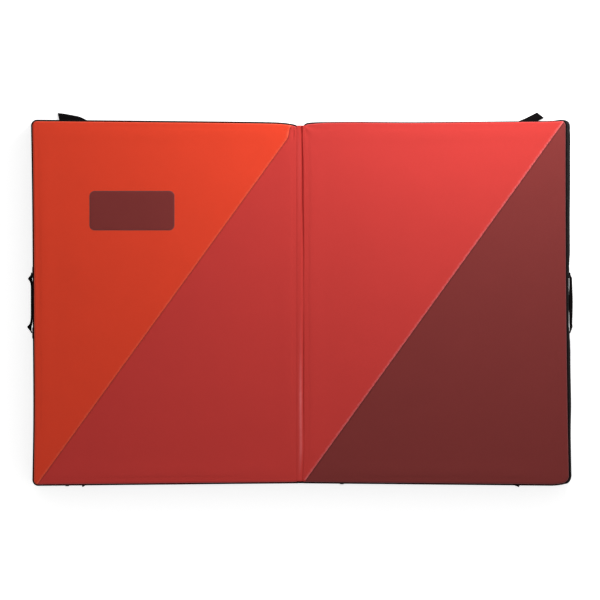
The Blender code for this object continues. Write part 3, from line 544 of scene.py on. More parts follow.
for side in SIDES:
    name = side + "_ground_cloth"
    bm = panel_sheet(side, piping_radius, ground_cloth_rim_pitch, cover_pitch, cover_band,
                     underside_height(side, piping_radius))
    bmesh.ops.reverse_faces(bm, faces=bm.faces[:])
    mesh = finished_mesh(name, bm, turned_out=False)
    cloth = shell(add_piece(name, mesh, black_cloth, side + "_panel", "black_cloth",
                            side + "_bottom_cover"))


# The side walls
# A band of the same black cloth runs round each panel's foam and is sewn to both faces
# through the piping. It is held flat by the zip and by the handle patches.

wall_top = 0.1074
wall_foot = 0.0141
fold_wall_top = 0.1127
fold_wall_foot = 0.0088
wall_bulge = 0.0016
wall_crease = 0.0010
wall_tuck = 0.0008
shoulder_middle = 0.0052
shoulder_slope = 0.0060
lower_shoulder_drop = 0.0034
upper_shoulder_drop = 0.0045
wall_rows = 16
end_wall_from = 0.75
zip_from, zip_to, zip_ease = 0.095, 0.745, 0.03
held_reach = 0.016
handle_dent = 0.0030
handle_held_half = 0.122
hand_half_long = 0.090
hand_half_tall = 0.036
handle_height = 0.060
zip_height = 0.060
thread_length = 0.0034
thread_gap = 0.0012
thread_radius = 0.00042
black_thread_colour = (0.030, 0.030, 0.032)


def outward_ways(points, centre):
    """The outward direction at each point of a closed plan outline."""
    ways = []
    for step, point in enumerate(points):
        run = points[(step + 1) % len(points)] - points[step - 1]
        way = Vector((run.y, -run.x, 0)).normalized()
        ways.append(way if way.dot(point - centre) > 0 else -way)
    return ways


def wall_is_held(x, y, z):
    """Where the zip or a handle keeps the wall from bulging: 1 held, 0 free."""
    near = smooth(1.6 - abs(z - zip_height) / held_reach)
    zip_share = smooth((abs(x) - zip_from) / zip_ease) * smooth((zip_to - abs(x)) / zip_ease)
    on_zip = zip_share if y < -0.5 else 0.0
    on_handle = smooth((handle_held_half - abs(y)) / 0.018) if abs(x) > end_wall_from else 0.0
    return max(near * on_zip, on_handle)


def shoulder(side, point, share, z):
    """How far the right end wall swells out under its rim, clear of the handle."""
    if side == "left":
        return 0.0
    swell = shoulder_middle - shoulder_slope * point.y
    swell -= (lower_shoulder_drop * smooth((-0.30 - point.y) / 0.12)
              + upper_shoulder_drop * smooth((point.y - 0.50) / 0.05))
    beside = smooth((0.15 - abs(point.y)) / 0.03) * (1 - smooth((z - 0.070) / 0.012))
    return (swell * math.sin(math.pi * share ** 2.4) * smooth((point.x - 0.800) / 0.016)
            * (1 - beside))


def pressed_in(point, z):
    """How far a hand behind the handle has pressed the wall into the foam."""
    if abs(point.x) < end_wall_from:
        return 0.0
    return (handle_dent * smooth((hand_half_long - abs(point.y)) / 0.012)
            * smooth((hand_half_tall - abs(z - handle_height)) / held_reach))


def fold_side_share(point):
    """1 on the wall that faces the fold, 0 on the other walls."""
    return smooth((0.017 - abs(point.x)) / 0.010)


def wall_mesh(side):
    """The band of wall cloth as a closed loop of fine quads."""
    loop = outline(side, piping_radius)
    ways = outward_ways(loop, Vector((SIGN[side] * half_length / 2, 0, 0)))
    bm = bmesh.new()
    made = []
    for step, (point, way) in enumerate(zip(loop, ways)):
        fold = fold_side_share(point)
        foot = wall_foot + (fold_wall_foot - wall_foot) * fold
        top = wall_top + (fold_wall_top - wall_top) * fold
        column = []
        for row in range(wall_rows + 1):
            share = row / wall_rows
            z = foot + (top - foot) * share
            free = (1 - wall_is_held(point.x, point.y, z)) * (1 - fold)
            belly = math.sin(math.pi * share) ** 0.7 * wall_bulge * free
            crease = noise.noise((point.x * 9, point.y * 9, z * 22)) * wall_crease * free
            crease *= math.sin(math.pi * share)
            tuck = -wall_tuck * (abs(2 * share - 1) ** 8) * (1 - fold)
            belly += shoulder(side, point, share, z) - pressed_in(point, z)
            spot = point + way * (belly + crease + tuck) + Vector((0, 0, z))
            spot.x -= rim_lean(point.x, point.y, z)
            column.append(bm.verts.new(spot))
        made.append(column)
    skin(bm, made + made[:1])
    return finished_mesh(side + "_wall_cloth", bm)


def thread_material(name, colour):
    """Twisted polyester thread."""
    material, tree, shader = new_material(name, Roughness=0.55, Sheen_Weight=0.2)
    place = node(tree, "TexCoord").outputs["Object"]
    twist = cloudy(tree, place, 1800.0, 1.0)
    mixed = blend_colours(tree, twist, opaque(colour, 0.7), opaque(colour))
    connect(tree, shader, mixed, twist, 0.0001)
    return material


black_thread = thread_material("black_thread", black_thread_colour)


def unit(ways):
    """Rows of an array at a length of one."""
    return ways / (np.linalg.norm(ways, axis=1, keepdims=True) + 1e-12)


def resample(row, pitch):
    """Points, headings and surface ways at even steps along a row of (point, way)."""
    points, ways = (np.array([tuple(v) for v in column], float) for column in zip(*row))
    steps = np.linalg.norm(np.diff(points, axis=0), axis=1)
    run = np.concatenate([[0.0], np.cumsum(steps)])
    count = max(1, int(run[-1] / pitch))
    at = (np.arange(count) + 0.5) * run[-1] / count

    def on_row(values, shift=0.0):
        return np.stack([np.interp(at + shift, run, values[:, k]) for k in range(3)], 1)

    along = unit(on_row(points, pitch / 4) - on_row(points, -pitch / 4))
    up = on_row(ways)
    return on_row(points), along, unit(up - along * (up * along).sum(1, keepdims=True))


def stitches(name, rows, thread, body, slot, length=thread_length):
    """Lock stitches along rows of (point, way), each a small bead sunk in the cloth."""
    shape = [(-0.5, 0, -0.3), (0.5, 0, -0.3)]
    for run in (-0.3, 0.3):
        shape += [(run, 1, 0), (run, 0, 1), (run, -1, 0), (run, 0, -1)]
    pairs = ((2, 3), (3, 4), (4, 5), (5, 2))
    ring = ([(a, b, b + 4, a + 4) for a, b in pairs] + [(0, b, a) for a, b in pairs]
            + [(1, a + 4, b + 4) for a, b in pairs])
    verts, faces = [], []
    for row in rows:
        mid, along, up = resample(row, length + thread_gap)
        side_way = np.cross(up, along)
        for m, a, u, s in zip(mid, along, up, side_way):
            start = len(verts)
            for run, wide, tall in shape:
                verts.append(m + a * run * length + (s * wide + u * tall) * thread_radius)
            faces += [tuple(start + index for index in face) for face in ring]
    mesh = bpy.data.meshes.new(name)
    mesh.from_pydata(verts, [], faces)
    mesh.shade_smooth()
    return add_piece(name, mesh, thread, body, slot)


for side in SIDES:
    cloth = shell(add_piece(side + "_wall_cloth", wall_mesh(side), black_cloth,
                            side + "_panel", "black_cloth", side + "_side_wall"))


# The piping
# A cord wrapped in webbing is caught in the seams between the walls and both faces, on
# every side but the one at the fold. It takes the scuffs, so its ridge is a little worn.

UP = Vector((0, 0, 1))
top_piping_level = 0.1102
low_piping_level = 0.0113
piping_sides = 12
webbing_colour = (0.0058, 0.0047, 0.0051)


def ribbed_weave():
    """Slanted ribs that turn back at each column, as in herringbone webbing."""
    tree, given, result = new_group(
        "ribbed_weave",
        [("Color", "Color", WHITE), ("Pitch", "Float", 0.0016),
         ("Column", "Float", 0.0032), ("Depth", "Float", 0.45)],
        [("Color", "Color"), ("Height", "Float")],
    )

    def wave(turns):
        return calc(tree, "ABSOLUTE", calc(tree, "SINE", calc(tree, "MULTIPLY", turns, math.pi)))

    run, across, _ = node(tree, "SeparateXYZ", {0: node(tree, "TexCoord").outputs["UV"]}).outputs
    column = calc(tree, "DIVIDE", across, given["Column"])
    slant = calc(tree, "PINGPONG", column, 1.0)
    along = calc(tree, "DIVIDE", run, given["Pitch"])
    height = calc(tree, "MULTIPLY", wave(calc(tree, "ADD", along, slant)),
                  calc(tree, "POWER", wave(column), 0.3))
    dark = calc(tree, "SUBTRACT", 1.0, calc(
        tree, "MULTIPLY", calc(tree, "SUBTRACT", 1.0, height), given["Depth"]))
    tree.links.new(toned(tree, given["Color"], dark), result["Color"])
    tree.links.new(height, result["Height"])
    return tree


rib = ribbed_weave()


def webbing_material(name, colour, pitch, column, roughness, relief):
    """Polyester webbing, woven in ribs along its own length."""
    material, tree, shader = new_material(name, Specular_IOR_Level=0.03)
    woven = node(tree, "Group", {"Color": opaque(colour), "Pitch": pitch, "Column": column},
                 node_tree=rib)
    dyed = node(tree, "Group", {"Color": woven.outputs["Color"], "Tone": 0.2, "Dust": 0.008,
                                "Roughness": roughness}, node_tree=wear)
    connect(tree, shader, dyed.outputs["Color"], woven.outputs["Height"], relief, 0.9,
            dyed.outputs["Roughness"])
    return material


black_webbing = webbing_material("black_webbing", webbing_colour, 0.0016, 0.0031, 0.74, 0.0004)
piping_cloth = webbing_material("piping_tape", webbing_colour, 0.0011, 0.0020, 0.70, 0.0002)


def loft(name, rings, degrees=40.0):
    """A skin over rings of points, capped, with a UV in metres along and round it."""
    points = np.array([[tuple(p) for p in ring] for ring in rings], float)
    count, sides = points.shape[:2]
    strides = np.linalg.norm(np.diff(points.mean(1), axis=0), axis=1)
    along = np.concatenate([[0.0], np.cumsum(strides)])
    around = np.linalg.norm(np.roll(points, -1, axis=1) - points, axis=2)
    girth = np.concatenate([np.zeros((count, 1)), np.cumsum(around, axis=1)], 1)
    faces, uvs = [], []
    for step in range(count - 1):
        for turn in range(sides):
            corners = ((step, turn), (step, turn + 1), (step + 1, turn + 1), (step + 1, turn))
            faces.append([a * sides + b % sides for a, b in corners])
            uvs += [(along[a], girth[a][b]) for a, b in corners]
    for step in (0, count - 1):
        faces.append(list(range(step * sides, (step + 1) * sides)))
        uvs += [(along[step], girth[step][turn]) for turn in range(sides)]
    laid = bpy.data.meshes.new(name)
    laid.from_pydata(points.reshape(-1, 3).tolist(), [], faces)
    laid.uv_layers.new(name="metres").data.foreach_set("uv", np.array(uvs, float).ravel())
    bm = bmesh.new()
    bm.from_mesh(laid)
    bpy.data.meshes.remove(laid)
    return finished_mesh(name, bm, degrees)


def tube_rings(points, radius, sides):
    """Rings round a line of points, which taper shut at both ends."""
    rings = []
    for step, point in enumerate(points):
        run = (points[min(step + 1, len(points) - 1)] - points[max(step - 1, 0)]).normalized()
        side_way = run.cross(UP).normalized()
        up = side_way.cross(run)
        end = min(step, len(points) - 1 - step)
        size = radius * (0.55 if end == 0 else 0.9 if end == 1 else 1.0)
        rings.append([point + side_way * size * math.cos(turn) + up * size * math.sin(turn)
                      for turn in (2 * math.pi * (k + 0.5) / sides for k in range(sides))])
    return rings


def piping_path(side, level):
    """The line of the piping, from half way round one fold corner to the other."""
    loop = outline(side, piping_radius)
    straight = len(loop) - 1
    while abs(loop[straight].x) < 0.0035:
        straight -= 1
    path = loop[corner_steps // 2:straight - corner_steps // 2 + 1]
    return [Vector((p.x - rim_lean(p.x, p.y, level), p.y,
                    level + noise.noise((p.x * 12, p.y * 12, level)) * 0.0002)) for p in path]


for side in SIDES:
    for word, node_word, level in (("top", "top", top_piping_level),
                                   ("ground", "bottom", low_piping_level)):
        name = f"{side}_{word}_welt"
        mesh = loft(name, tube_rings(piping_path(side, level), piping_radius, piping_sides))
        add_piece(name, mesh, piping_cloth, side + "_panel", "black_webbing",
                  f"{side}_{node_word}_piping")


# The landing face
# Two triangles of heavy nylon are joined on the diagonal by a felled seam and drawn over
# the foam, so each panel is a little crowned, rolls over at its rim, and puckers there.

face_inset = 0.0044
face_grid = (0.0013, 0.0065, 0.020)
face_rim_level = 0.1118
face_roll = 0.0092
face_roll_reach = 0.0044
face_crown = 0.0034
pucker_height = 0.00045
pucker_reach = 0.011
pucker_floor = -0.0005
corner_pucker = {"left": 0.0022, "right": 0.0018}
corner_pucker_reach = 0.028
face_unevenness = 0.0007
rim_swell = 0.0019
rim_lift = 0.0022
rim_swell_reach = 0.018
rim_lift_reach = 0.004
seam_pull = 0.0165
fold_gather = 0.0021
seam_gap = 0.0003
seam_ends = {"left": ((-0.8055, -0.556), (-0.001, 0.556)),
             "right": ((0.0050, -0.556), (0.8065, 0.556))}
fell_width = 0.009
fell_height = 0.0009
cloth_pressure = 0.04
cloth_fullness = 0.02
settle_side = 0.0010
settle_down = 0.0006
settle_up = 0.0012
settle_frames = 20
held_rim = 0.0002
held_inside = 0.40
full_reach = 0.030
seam_thread_offs = (0.0022, 0.0072)
seam_thread_from, seam_thread_share = 0.018, 0.956
# Painted light on the landing faces: a paler band along the seam's upper side and inside the rim as a
# painted highlight, and a dark band beside the seam's lower side as painted shade.
seam_painted_light = {"left": 0.45, "right": 0.85}
rim_highlight = 0.75
rim_highlight_depth = 0.003
seam_highlight_half = 0.0030
seam_shade_half = 0.0036
seam_shade_share = 0.8
cloth_settings = {
    "quality": 5, "mass": 0.15, "tension_stiffness": 20.0, "compression_stiffness": 20.0,
    "shear_stiffness": 6.0, "bending_stiffness": 0.05, "use_pressure": True,
    "uniform_pressure_force": cloth_pressure, "vertex_group_mass": "held",
    "pin_stiffness": 1.0, "vertex_group_shrink": "full", "shrink_min": 0.0,
    "shrink_max": -cloth_fullness,
}
# Each look: base colour, the paler colour its painted highlight blends to, tone, dust, and thread colour.
face_looks = {
    "orange": ((0.765, 0.050, 0.016), (0.82, 0.13, 0.07), 0.05, 0.003, (0.72, 0.10, 0.05)),
    "red": ((0.550, 0.037, 0.031), (0.66, 0.12, 0.12), 0.05, 0.003, (0.60, 0.085, 0.08)),
    "maroon": ((0.188, 0.024, 0.022), (0.32, 0.085, 0.09), 0.06, 0.004, (0.15, 0.03, 0.026)),
}

face_cloths, face_threads = {}, {}
for word, (colour, painted_light, tone, dust, thread_colour) in face_looks.items():
    face_cloths[word] = cloth_material(word + "_nylon", colour, 1150.0, 0.76, 0.01, tone, dust,
                                       painted_light=painted_light)
    face_threads[word] = thread_material(word + "_thread", thread_colour)


def diagonal(side):
    """The seam's two ends on the plan, and the way to its upper left side."""
    low, high = (Vector((*end, 0)) for end in seam_ends[side])
    run = (high - low).normalized()
    return low, high, Vector((-run.y, run.x, 0))


def corner_pull(side, x, y):
    """How far the gathered fold corner has dragged the left seam aside at a point."""
    if side == "right":
        return 0.0
    return (seam_pull * smooth((y - 0.497) / 0.042) * smooth((x + 0.085) / 0.054)
            * smooth((-half_fold_gap - x) / 0.028))


def face_height(side):
    """The level of the landing face at a point of a panel."""
    low, _, upper_way = diagonal(side)
    middle = (half_length + half_fold_gap) / 2
    reach = (half_length - half_fold_gap) / 2

    def height(x, y, depth, square_x, square_y):
        u = (abs(square_x) - middle) / reach
        v = square_y / half_width
        level = face_rim_level + face_roll * roll_share(depth, face_inset, face_roll_reach)
        level += face_crown * (1 - u * u) * (1 - v * v)
        inside = depth - face_inset
        rim_fade = math.exp(-inside / pucker_reach) * smooth(inside / 0.004)
        along = y if half_length - abs(x) < half_width - abs(y) or abs(x) < 0.02 else x
        gather = math.sin(along * 210 + 5 * noise.noise((along * 6, SIGN[side], 0)))
        patchy = 0.55 + 0.8 * noise.noise((along * 17, SIGN[side] * 4, 7))
        level += pucker_height * gather * max(0.0, patchy) * rim_fade
        corner = math.hypot(x, y - 0.548)
        radial = math.sin(math.atan2(y - 0.548, abs(x)) * 9 + 1.4 * SIGN[side])
        gathered = corner_pucker[side] * radial * math.exp(-corner / corner_pucker_reach)
        if side == "left":
            off = (x + 0.031) / 0.016
            gathered += (fold_gather * math.sin(off * 8.4 + 0.6) * math.exp(-off * off)
                         * smooth((y - 0.492) / 0.030))
        level += max(gathered, pucker_floor) * smooth(inside / 0.006)
        slow = noise.noise((x * 5.5, y * 5.5, 1.5)) + 0.5 * noise.noise((x * 13, y * 13, 4.0))
        level += face_unevenness * slow * smooth(inside / 0.05)
        off_seam = (Vector((x, y, 0)) - low).dot(upper_way)
        level += (fell_height * smooth(off_seam / 0.0015)
                  * smooth((fell_width - off_seam) / 0.004))
        return level

    return height


def swell_over_piping(bm):
    """Lets the right face's upper rim swell out until it hides most of its piping."""
    inside = bm.verts.layers.float["inside"]
    for vert in bm.verts:
        x, y, _ = vert.co
        near = smooth((y - 0.50) / 0.04) * smooth((x - 0.03) / 0.05) * smooth((0.795 - x) / 0.03)
        vert.co.y += rim_swell * near * (1 - smooth(vert[inside] / rim_swell_reach))
        vert.co.z += rim_lift * near * (1 - smooth(vert[inside] / rim_lift_reach))


def half_of_face(bm_whole, side, keep):
    """One triangle of a landing face, cut from the whole at the seam."""
    bm = bm_whole.copy()
    low, _, upper_way = diagonal(side)
    square = upper_way * keep
    home = bm.verts.layers.float.new("home")
    for vert in bm.verts:
        vert[home] = vert.co.x
        vert.co.x += corner_pull(side, vert.co.x, vert.co.y)
    bmesh.ops.bisect_plane(bm, geom=bm.verts[:] + bm.edges[:] + bm.faces[:],
                           plane_co=low + square * seam_gap / 2, plane_no=square,
                           clear_inner=True, dist=1e-6)
    for vert in bm.verts:
        vert.co.x = vert[home]
    bm.verts.layers.float.remove(home)
    return bm


def mark_painted_light(mesh, side, keep):
    """Marks where a face is painted paler at its rim and seam as a highlight, and where its seam is painted
    dark as shade.
    """
    low, _, upper_way = diagonal(side)
    values = []
    for vert in mesh.vertices:
        pull = corner_pull(side, vert.co.x, vert.co.y)
        off = abs((Vector((vert.co.x + pull, vert.co.y, 0)) - low).dot(upper_way))
        sunk = face_rim_level + face_roll * 0.97 - vert.co.z
        # Painted highlight on the rolled rim, just inside the piping.
        value = rim_highlight * smooth(sunk / rim_highlight_depth)
        # Painted highlight along the seam's upper side; painted shade beside its lower side.
        if keep > 0:
            value += seam_painted_light[side] * smooth(1 - (off - seam_highlight_half) / seam_highlight_half)
        else:
            value -= seam_shade_share * seam_painted_light[side] * smooth(1 - off / seam_shade_half)
        values.append(value)
    layer = mesh.attributes.new("painted_light", "FLOAT", "POINT")
    layer.data.foreach_set("value", values)


def settle_cloth(bm, side):
    """Sews a face down at its rim a little full, and lets it pucker as cloth on its foam."""
    mesh = bpy.data.meshes.new(side + "_settling")
    bm.to_mesh(mesh)
    cloth = bpy.data.objects.new(side + "_settling", mesh)
    bpy.context.scene.collection.objects.link(cloth)
    held = cloth.vertex_groups.new(name="held")
    full = cloth.vertex_groups.new(name="full")
    for index, item in enumerate(mesh.attributes["inside"].data):
        depth = item.value
        grip = 1.0 if depth < held_rim else held_inside * smooth((depth - 0.012) / 0.16)
        held.add([index], grip, "ADD")
        full.add([index], 1 - smooth(depth / full_reach), "ADD")
    made = cloth.modifiers.new("settle", "CLOTH")
    for setting, value in cloth_settings.items():
        setattr(made.settings, setting, value)
    made.settings.effector_weights.gravity = 0.0
    made.collision_settings.use_collision = False
    made.point_cache.frame_start = 1
    made.point_cache.frame_end = settle_frames
    for moment in range(1, settle_frames + 1):
        bpy.context.scene.frame_set(moment)
    result = cloth.evaluated_get(bpy.context.evaluated_depsgraph_get()).to_mesh()
    start, moved = np.empty(len(bm.verts) * 3), np.empty(len(bm.verts) * 3)
    mesh.vertices.foreach_get("co", start)
    result.vertices.foreach_get("co", moved)
    bpy.data.objects.remove(cloth)
    bpy.context.scene.frame_set(1)
    for vert, (x, y, z) in zip(bm.verts, (moved - start).reshape(-1, 3)):
        vert.co.x += min(max(x, -settle_side), settle_side)
        vert.co.y += min(max(y, -settle_side), settle_side)
        vert.co.z += min(max(z, -settle_down), settle_up)


face_trees = {}
FACES = (
    ("left", "orange", 1, "left_top_orange"), ("left", "red", -1, "left_top_red"),
    ("right", "red", 1, "right_top_red"), ("right", "maroon", -1, "right_top_maroon"),
)
whole_faces = {side: panel_sheet(side, face_inset, *face_grid, face_height(side))
               for side in SIDES}
swell_over_piping(whole_faces["right"])
for side in SIDES:
    settle_cloth(whole_faces[side], side)
    face_trees[side] = BVHTree.FromBMesh(whole_faces[side])

for side, word, keep, cad_node in FACES:
    mesh = finished_mesh(f"{side}_{word}_face", half_of_face(whole_faces[side], side, keep),
                         turned_out=False)
    mark_painted_light(mesh, side, keep)
    cloth = shell(add_piece(f"{side}_{word}_face", mesh, face_cloths[word], side + "_panel",
                            word + "_cloth", cad_node))


def on_face(side, x, y, lift=0.0):
    """The point of a landing face at a place on the plan, and its way out."""
    hit, way, _, _ = face_trees[side].ray_cast(Vector((x, y, 1.0)), Vector((0, 0, -1)))
    if way.z < 0:
        way = -way
    return hit + way * lift, way


def seam_rows(side):
    """Two rows of stitches along the felled seam."""
    low, high, upper_way = diagonal(side)
    rows = []
    for off in seam_thread_offs:
        row = []
        for step in range(281):
            share = seam_thread_from + seam_thread_share * step / 280
            place = low + (high - low) * share + upper_way * off
            x = place.x
            for _ in range(30):
                x = place.x - corner_pull(side, x, place.y)
            row.append(on_face(side, x, place.y, 0.0003))
        rows.append(row)
    return rows


for side, word in (("left", "orange"), ("right", "red")):
    stitches(f"{side}_seam_stitches", seam_rows(side), face_threads[word], side + "_panel",
             word + "_cloth")


# The plain patch
# A bare maroon patch is sewn near the corner of the first triangle. Its edges are turned
# under and held by one row of thread, and a fine cord runs round it.

patch_low, patch_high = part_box("blank_patch")
patch_middle = (patch_low + patch_high) / 2
patch_half_long = (patch_high.x - patch_low.x) / 2
patch_half_wide = 0.060
patch_radius = 0.016
patch_thickness = 0.0006
patch_lift = 0.0009
patch_hem = 0.004
patch_grid = (105, 53)
patch_edge_ease = 0.0016
patch_edge_inset = 0.0006
patch_relief = 0.0003
patch_clearance = 0.0002
patch_thread_length = 0.0026
edge_cord_radius = 0.0009


def patch_mesh():
    """The patch as a fine grid with rounded corners, laid on the face under it."""
    bm = bmesh.new()
    made = []
    for a in np.linspace(-1, 1, patch_grid[0]):
        line = []
        for b in np.linspace(-1, 1, patch_grid[1]):
            x, y = a * patch_half_long, b * patch_half_wide
            rim = min(patch_half_long - abs(x), patch_half_wide - abs(y))
            over_x = abs(x) - patch_half_long + patch_radius
            over_y = abs(y) - patch_half_wide + patch_radius
            if over_x > 0 and over_y > 0:
                p, q = into_corner(over_x / patch_radius, over_y / patch_radius)
                x = math.copysign(patch_half_long - patch_radius + p * patch_radius, x)
                y = math.copysign(patch_half_wide - patch_radius + q * patch_radius, y)
                rim = patch_radius - math.hypot(p, q) * patch_radius
            lift = patch_lift * smooth(rim / patch_edge_ease)
            lift -= patch_relief * smooth(1 - abs(rim - patch_hem) / 0.002)
            lift += patch_relief * noise.noise((x * 30, y * 30, 9))
            point, _ = on_face("left", patch_middle.x + x, patch_middle.y + y)
            line.append(bm.verts.new(point + UP * (lift + patch_clearance)))
        made.append(line)
    skin(bm, made)
    return finished_mesh("plain_patch", bm, turned_out=False)


def patch_row(inset):
    """The points and surface ways of a closed line round the patch."""
    radius = patch_radius - inset
    row = []
    for turn in range(97):
        angle = 2 * math.pi * turn / 96
        away = Vector((math.cos(angle), math.sin(angle)))
        corner = Vector((math.copysign(patch_half_long - inset - radius, away.x + 1e-9),
                         math.copysign(patch_half_wide - inset - radius, away.y + 1e-9)))
        spot = corner + away * radius
        row.append(on_face("left", patch_middle.x + spot.x, patch_middle.y + spot.y, patch_lift))
    return row + row[:1]


patch = shell(add_piece("plain_patch", patch_mesh(), face_cloths["maroon"], "left_panel",
                        "maroon_cloth", "blank_patch"), patch_thickness)
stitches("plain_patch_stitches", [patch_row(patch_hem)], face_threads["maroon"], "left_panel",
         "maroon_cloth", patch_thread_length)
edge_line = [point + way * 0.0001 for point, way in patch_row(patch_edge_inset)]
add_piece("plain_patch_edge",
          loft("plain_patch_edge", tube_rings(edge_line, edge_cord_radius, 8)), black_thread,
          "left_panel", "maroon_cloth")


# The fold strip
# One strip of the red nylon joins the two landing faces. It is sewn to the roll of each
# rim, lies slack in the valley between them, and opens round the fold as the pad closes.

strip_top = 0.5420
strip_foot = -0.5458
strip_left = -0.0130
strip_right = 0.0150
strip_lift = 0.0005
strip_thickness = 0.0007
strip_columns = 48
strip_rows = 270
strip_edge_ease = 0.004
strip_row_margin = 0.006
strip_row_reach = 0.525
strip_level = 0.118
binding_length = 0.021
binding_level = 0.1196
binding_half_wide, binding_half_thick = 0.0034, 0.0021
# Stations: place along the fold, where the crease runs, its depth, and the strength of a painted highlight
# on the ridge beside it.
crease_stations = (
    (-0.546, 0.0054, 0.0022, 0.05), (-0.526, 0.0054, 0.0020, 0.05),
    (-0.450, 0.0088, 0.0012, 0.70), (-0.297, 0.0078, 0.0028, 0.95),
    (-0.144, 0.0082, 0.0032, 0.20), (0.0085, 0.0080, 0.0012, 0.0),
    (0.161, 0.0070, 0.0030, 0.0), (0.314, 0.0050, 0.0056, 0.08),
    (0.436, 0.0046, 0.0060, 0.12), (0.513, 0.0022, 0.0046, 0.05),
    (0.545, 0.0024, 0.0090, 0.0),
)


def eased(x, stations):
    """A value eased between (place, value) stations."""
    for (first, low), (second, high) in zip(stations, stations[1:]):
        if x <= second:
            return low + (high - low) * smooth((x - first) / (second - first))
    return stations[-1][1]


def crease_at(y):
    """Where the crease runs, how deep it is, and how strong the painted highlight on the ridge beside it is.
    """
    places, *columns = zip(*crease_stations)
    return [float(np.interp(y, places, column)) for column in columns]


def crease_profile(y):
    """The strip's stations across the fold, from its left edge to its right."""
    at, depth, _ = crease_at(y)
    at += 0.0004 * noise.noise((y * 12, 2, 0))
    above = smooth((y - 0.05) / 0.15)
    puff = 0.0005 + 0.0003 * noise.noise((y * 15, 8, 0))
    lip = at - 0.0090 + 0.0040 * above
    return ((strip_left, 0.0), (strip_left + strip_edge_ease, puff * 0.6), (lip, puff),
            (at - 0.0006 * above, -depth), (at + 0.0006 + 0.0006 * above, -depth),
            (at + 0.0022 + 0.0016 * above, -0.0002), (strip_right, 0.0))


def strip_mesh():
    """The strip's grid between the two landing faces, laid down on their rolled rims."""
    steady = half_width - fold_draw_in - corner_radii["upper_fold"] - 0.012
    bm = bmesh.new()
    painted_light = bm.verts.layers.float.new("painted_light")
    made = []
    for step in range(strip_rows + 1):
        y = strip_top + (strip_foot - strip_top) * step / strip_rows
        beside = min(max(y, -steady), steady)
        left, _ = on_face("left", strip_left, beside)
        right, _ = on_face("right", strip_right, beside)
        profile = crease_profile(y)
        at, depth, painted_light_mark = crease_at(y)
        line = []
        for column in range(strip_columns + 1):
            share = column / strip_columns
            x = strip_left + (strip_right - strip_left) * share
            lift = strip_lift * smooth((x - strip_left) / strip_edge_ease)
            level = left.z + (right.z - left.z) * share + lift + eased(x, profile)
            if abs(x) > half_fold_gap + face_inset + 0.0004:
                under, _ = on_face("right" if x > 0 else "left", x, beside)
                level = max(level, under.z + 0.0002 + lift)
            vert = bm.verts.new((x, y, level))
            # Painted highlight on the ridge beside the crease, and painted shade down in the crease.
            off = (x - at + 0.0085) / 0.0042
            shade = (x - at) / 0.0016
            vert[painted_light] = (painted_light_mark * math.exp(-off * off)
                            - min(depth * 60, 0.30) * math.exp(-shade * shade))
            line.append(vert)
        made.append(line)
    skin(bm, made)
    return finished_mesh("fold_strip", bm, turned_out=False)


def corner_arcs(half_wide, half_thick, share, steps):
    """The four round corners of an oblong ring, as lists of (across, up) pairs."""
    radius = min(half_wide, half_thick) * share
    arcs = []
    for across, up, start in ((1, 1, 0), (-1, 1, 1), (-1, -1, 2), (1, -1, 3)):
        turns = [math.pi / 2 * (start + step / (steps - 1)) for step in range(steps)]
        arcs.append([(across * (half_wide - radius) + radius * math.cos(turn),
                      up * (half_thick - radius) + radius * math.sin(turn)) for turn in turns])
    return arcs


def rounded_bar(half_wide, half_thick, corner, steps=3):
    """A rounded oblong ring as (across, up) pairs."""
    return sum(corner_arcs(half_wide, half_thick, corner, steps), [])


def binding_mesh():
    """The black tape turned over the strip's lower end, where it meets both walls."""
    ring = rounded_bar(binding_half_wide, binding_half_thick, 0.9, 4)
    rings = []
    for step in range(25):
        x = strip_left + 0.001 + binding_length * step / 24
        sag = eased(x, crease_profile(strip_foot)) * 0.7
        rings.append([Vector((x, strip_foot - 0.0024 + a, binding_level + sag + b))
                      for a, b in ring])
    return loft("fold_binding", rings)


def add_folding(name, mesh, material, slot, *nodes):
    """Links a mesh that bends with the fold."""
    piece = add_piece(name, mesh, material, None, slot, *nodes)
    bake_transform(piece, "left_panel", "right_panel", start=(strip_left, 0, strip_level),
             end=(strip_right, 0, strip_level))
    return piece


def strip_row(side, x):
    """A row of stitches along one edge of the strip."""
    row = []
    for step in range(201):
        y = (strip_top - strip_row_margin
             + (strip_foot - strip_top + 2 * strip_row_margin) * step / 200)
        beside = min(max(y, -strip_row_reach), strip_row_reach)
        point, way = on_face(side, x, beside, strip_lift + 0.0001)
        row.append((Vector((x, y, point.z)), way))
    return row


strip = add_folding("fold_strip", strip_mesh(), face_cloths["red"], "red_cloth", "hinge_web")
shell(strip, strip_thickness)
add_folding("fold_binding", binding_mesh(), piping_cloth, "black_webbing")
for side, x in (("left", strip_left + 0.0010), ("right", strip_right - 0.0010)):
    stitches(side + "_fold_stitches", [strip_row(side, x)], face_threads["red"],
             side + "_panel", "red_cloth")


# The zips
# A coil zip in each lower long wall lets the foam in. Its two tapes are sewn to the wall,
# and a slider with a pull runs along the coil.

weld_distance = 1e-5
small_bevel = 0.0004
zip_length = 0.600
zip_tape_half = 0.008
zip_tape_thickness = 0.0012
zip_tooth_pitch = 0.0022
zip_tooth_half = 0.0016
zip_tooth_lean = 0.0005
zip_slit = 0.0004
plastic_colour = (0.019, 0.019, 0.020)


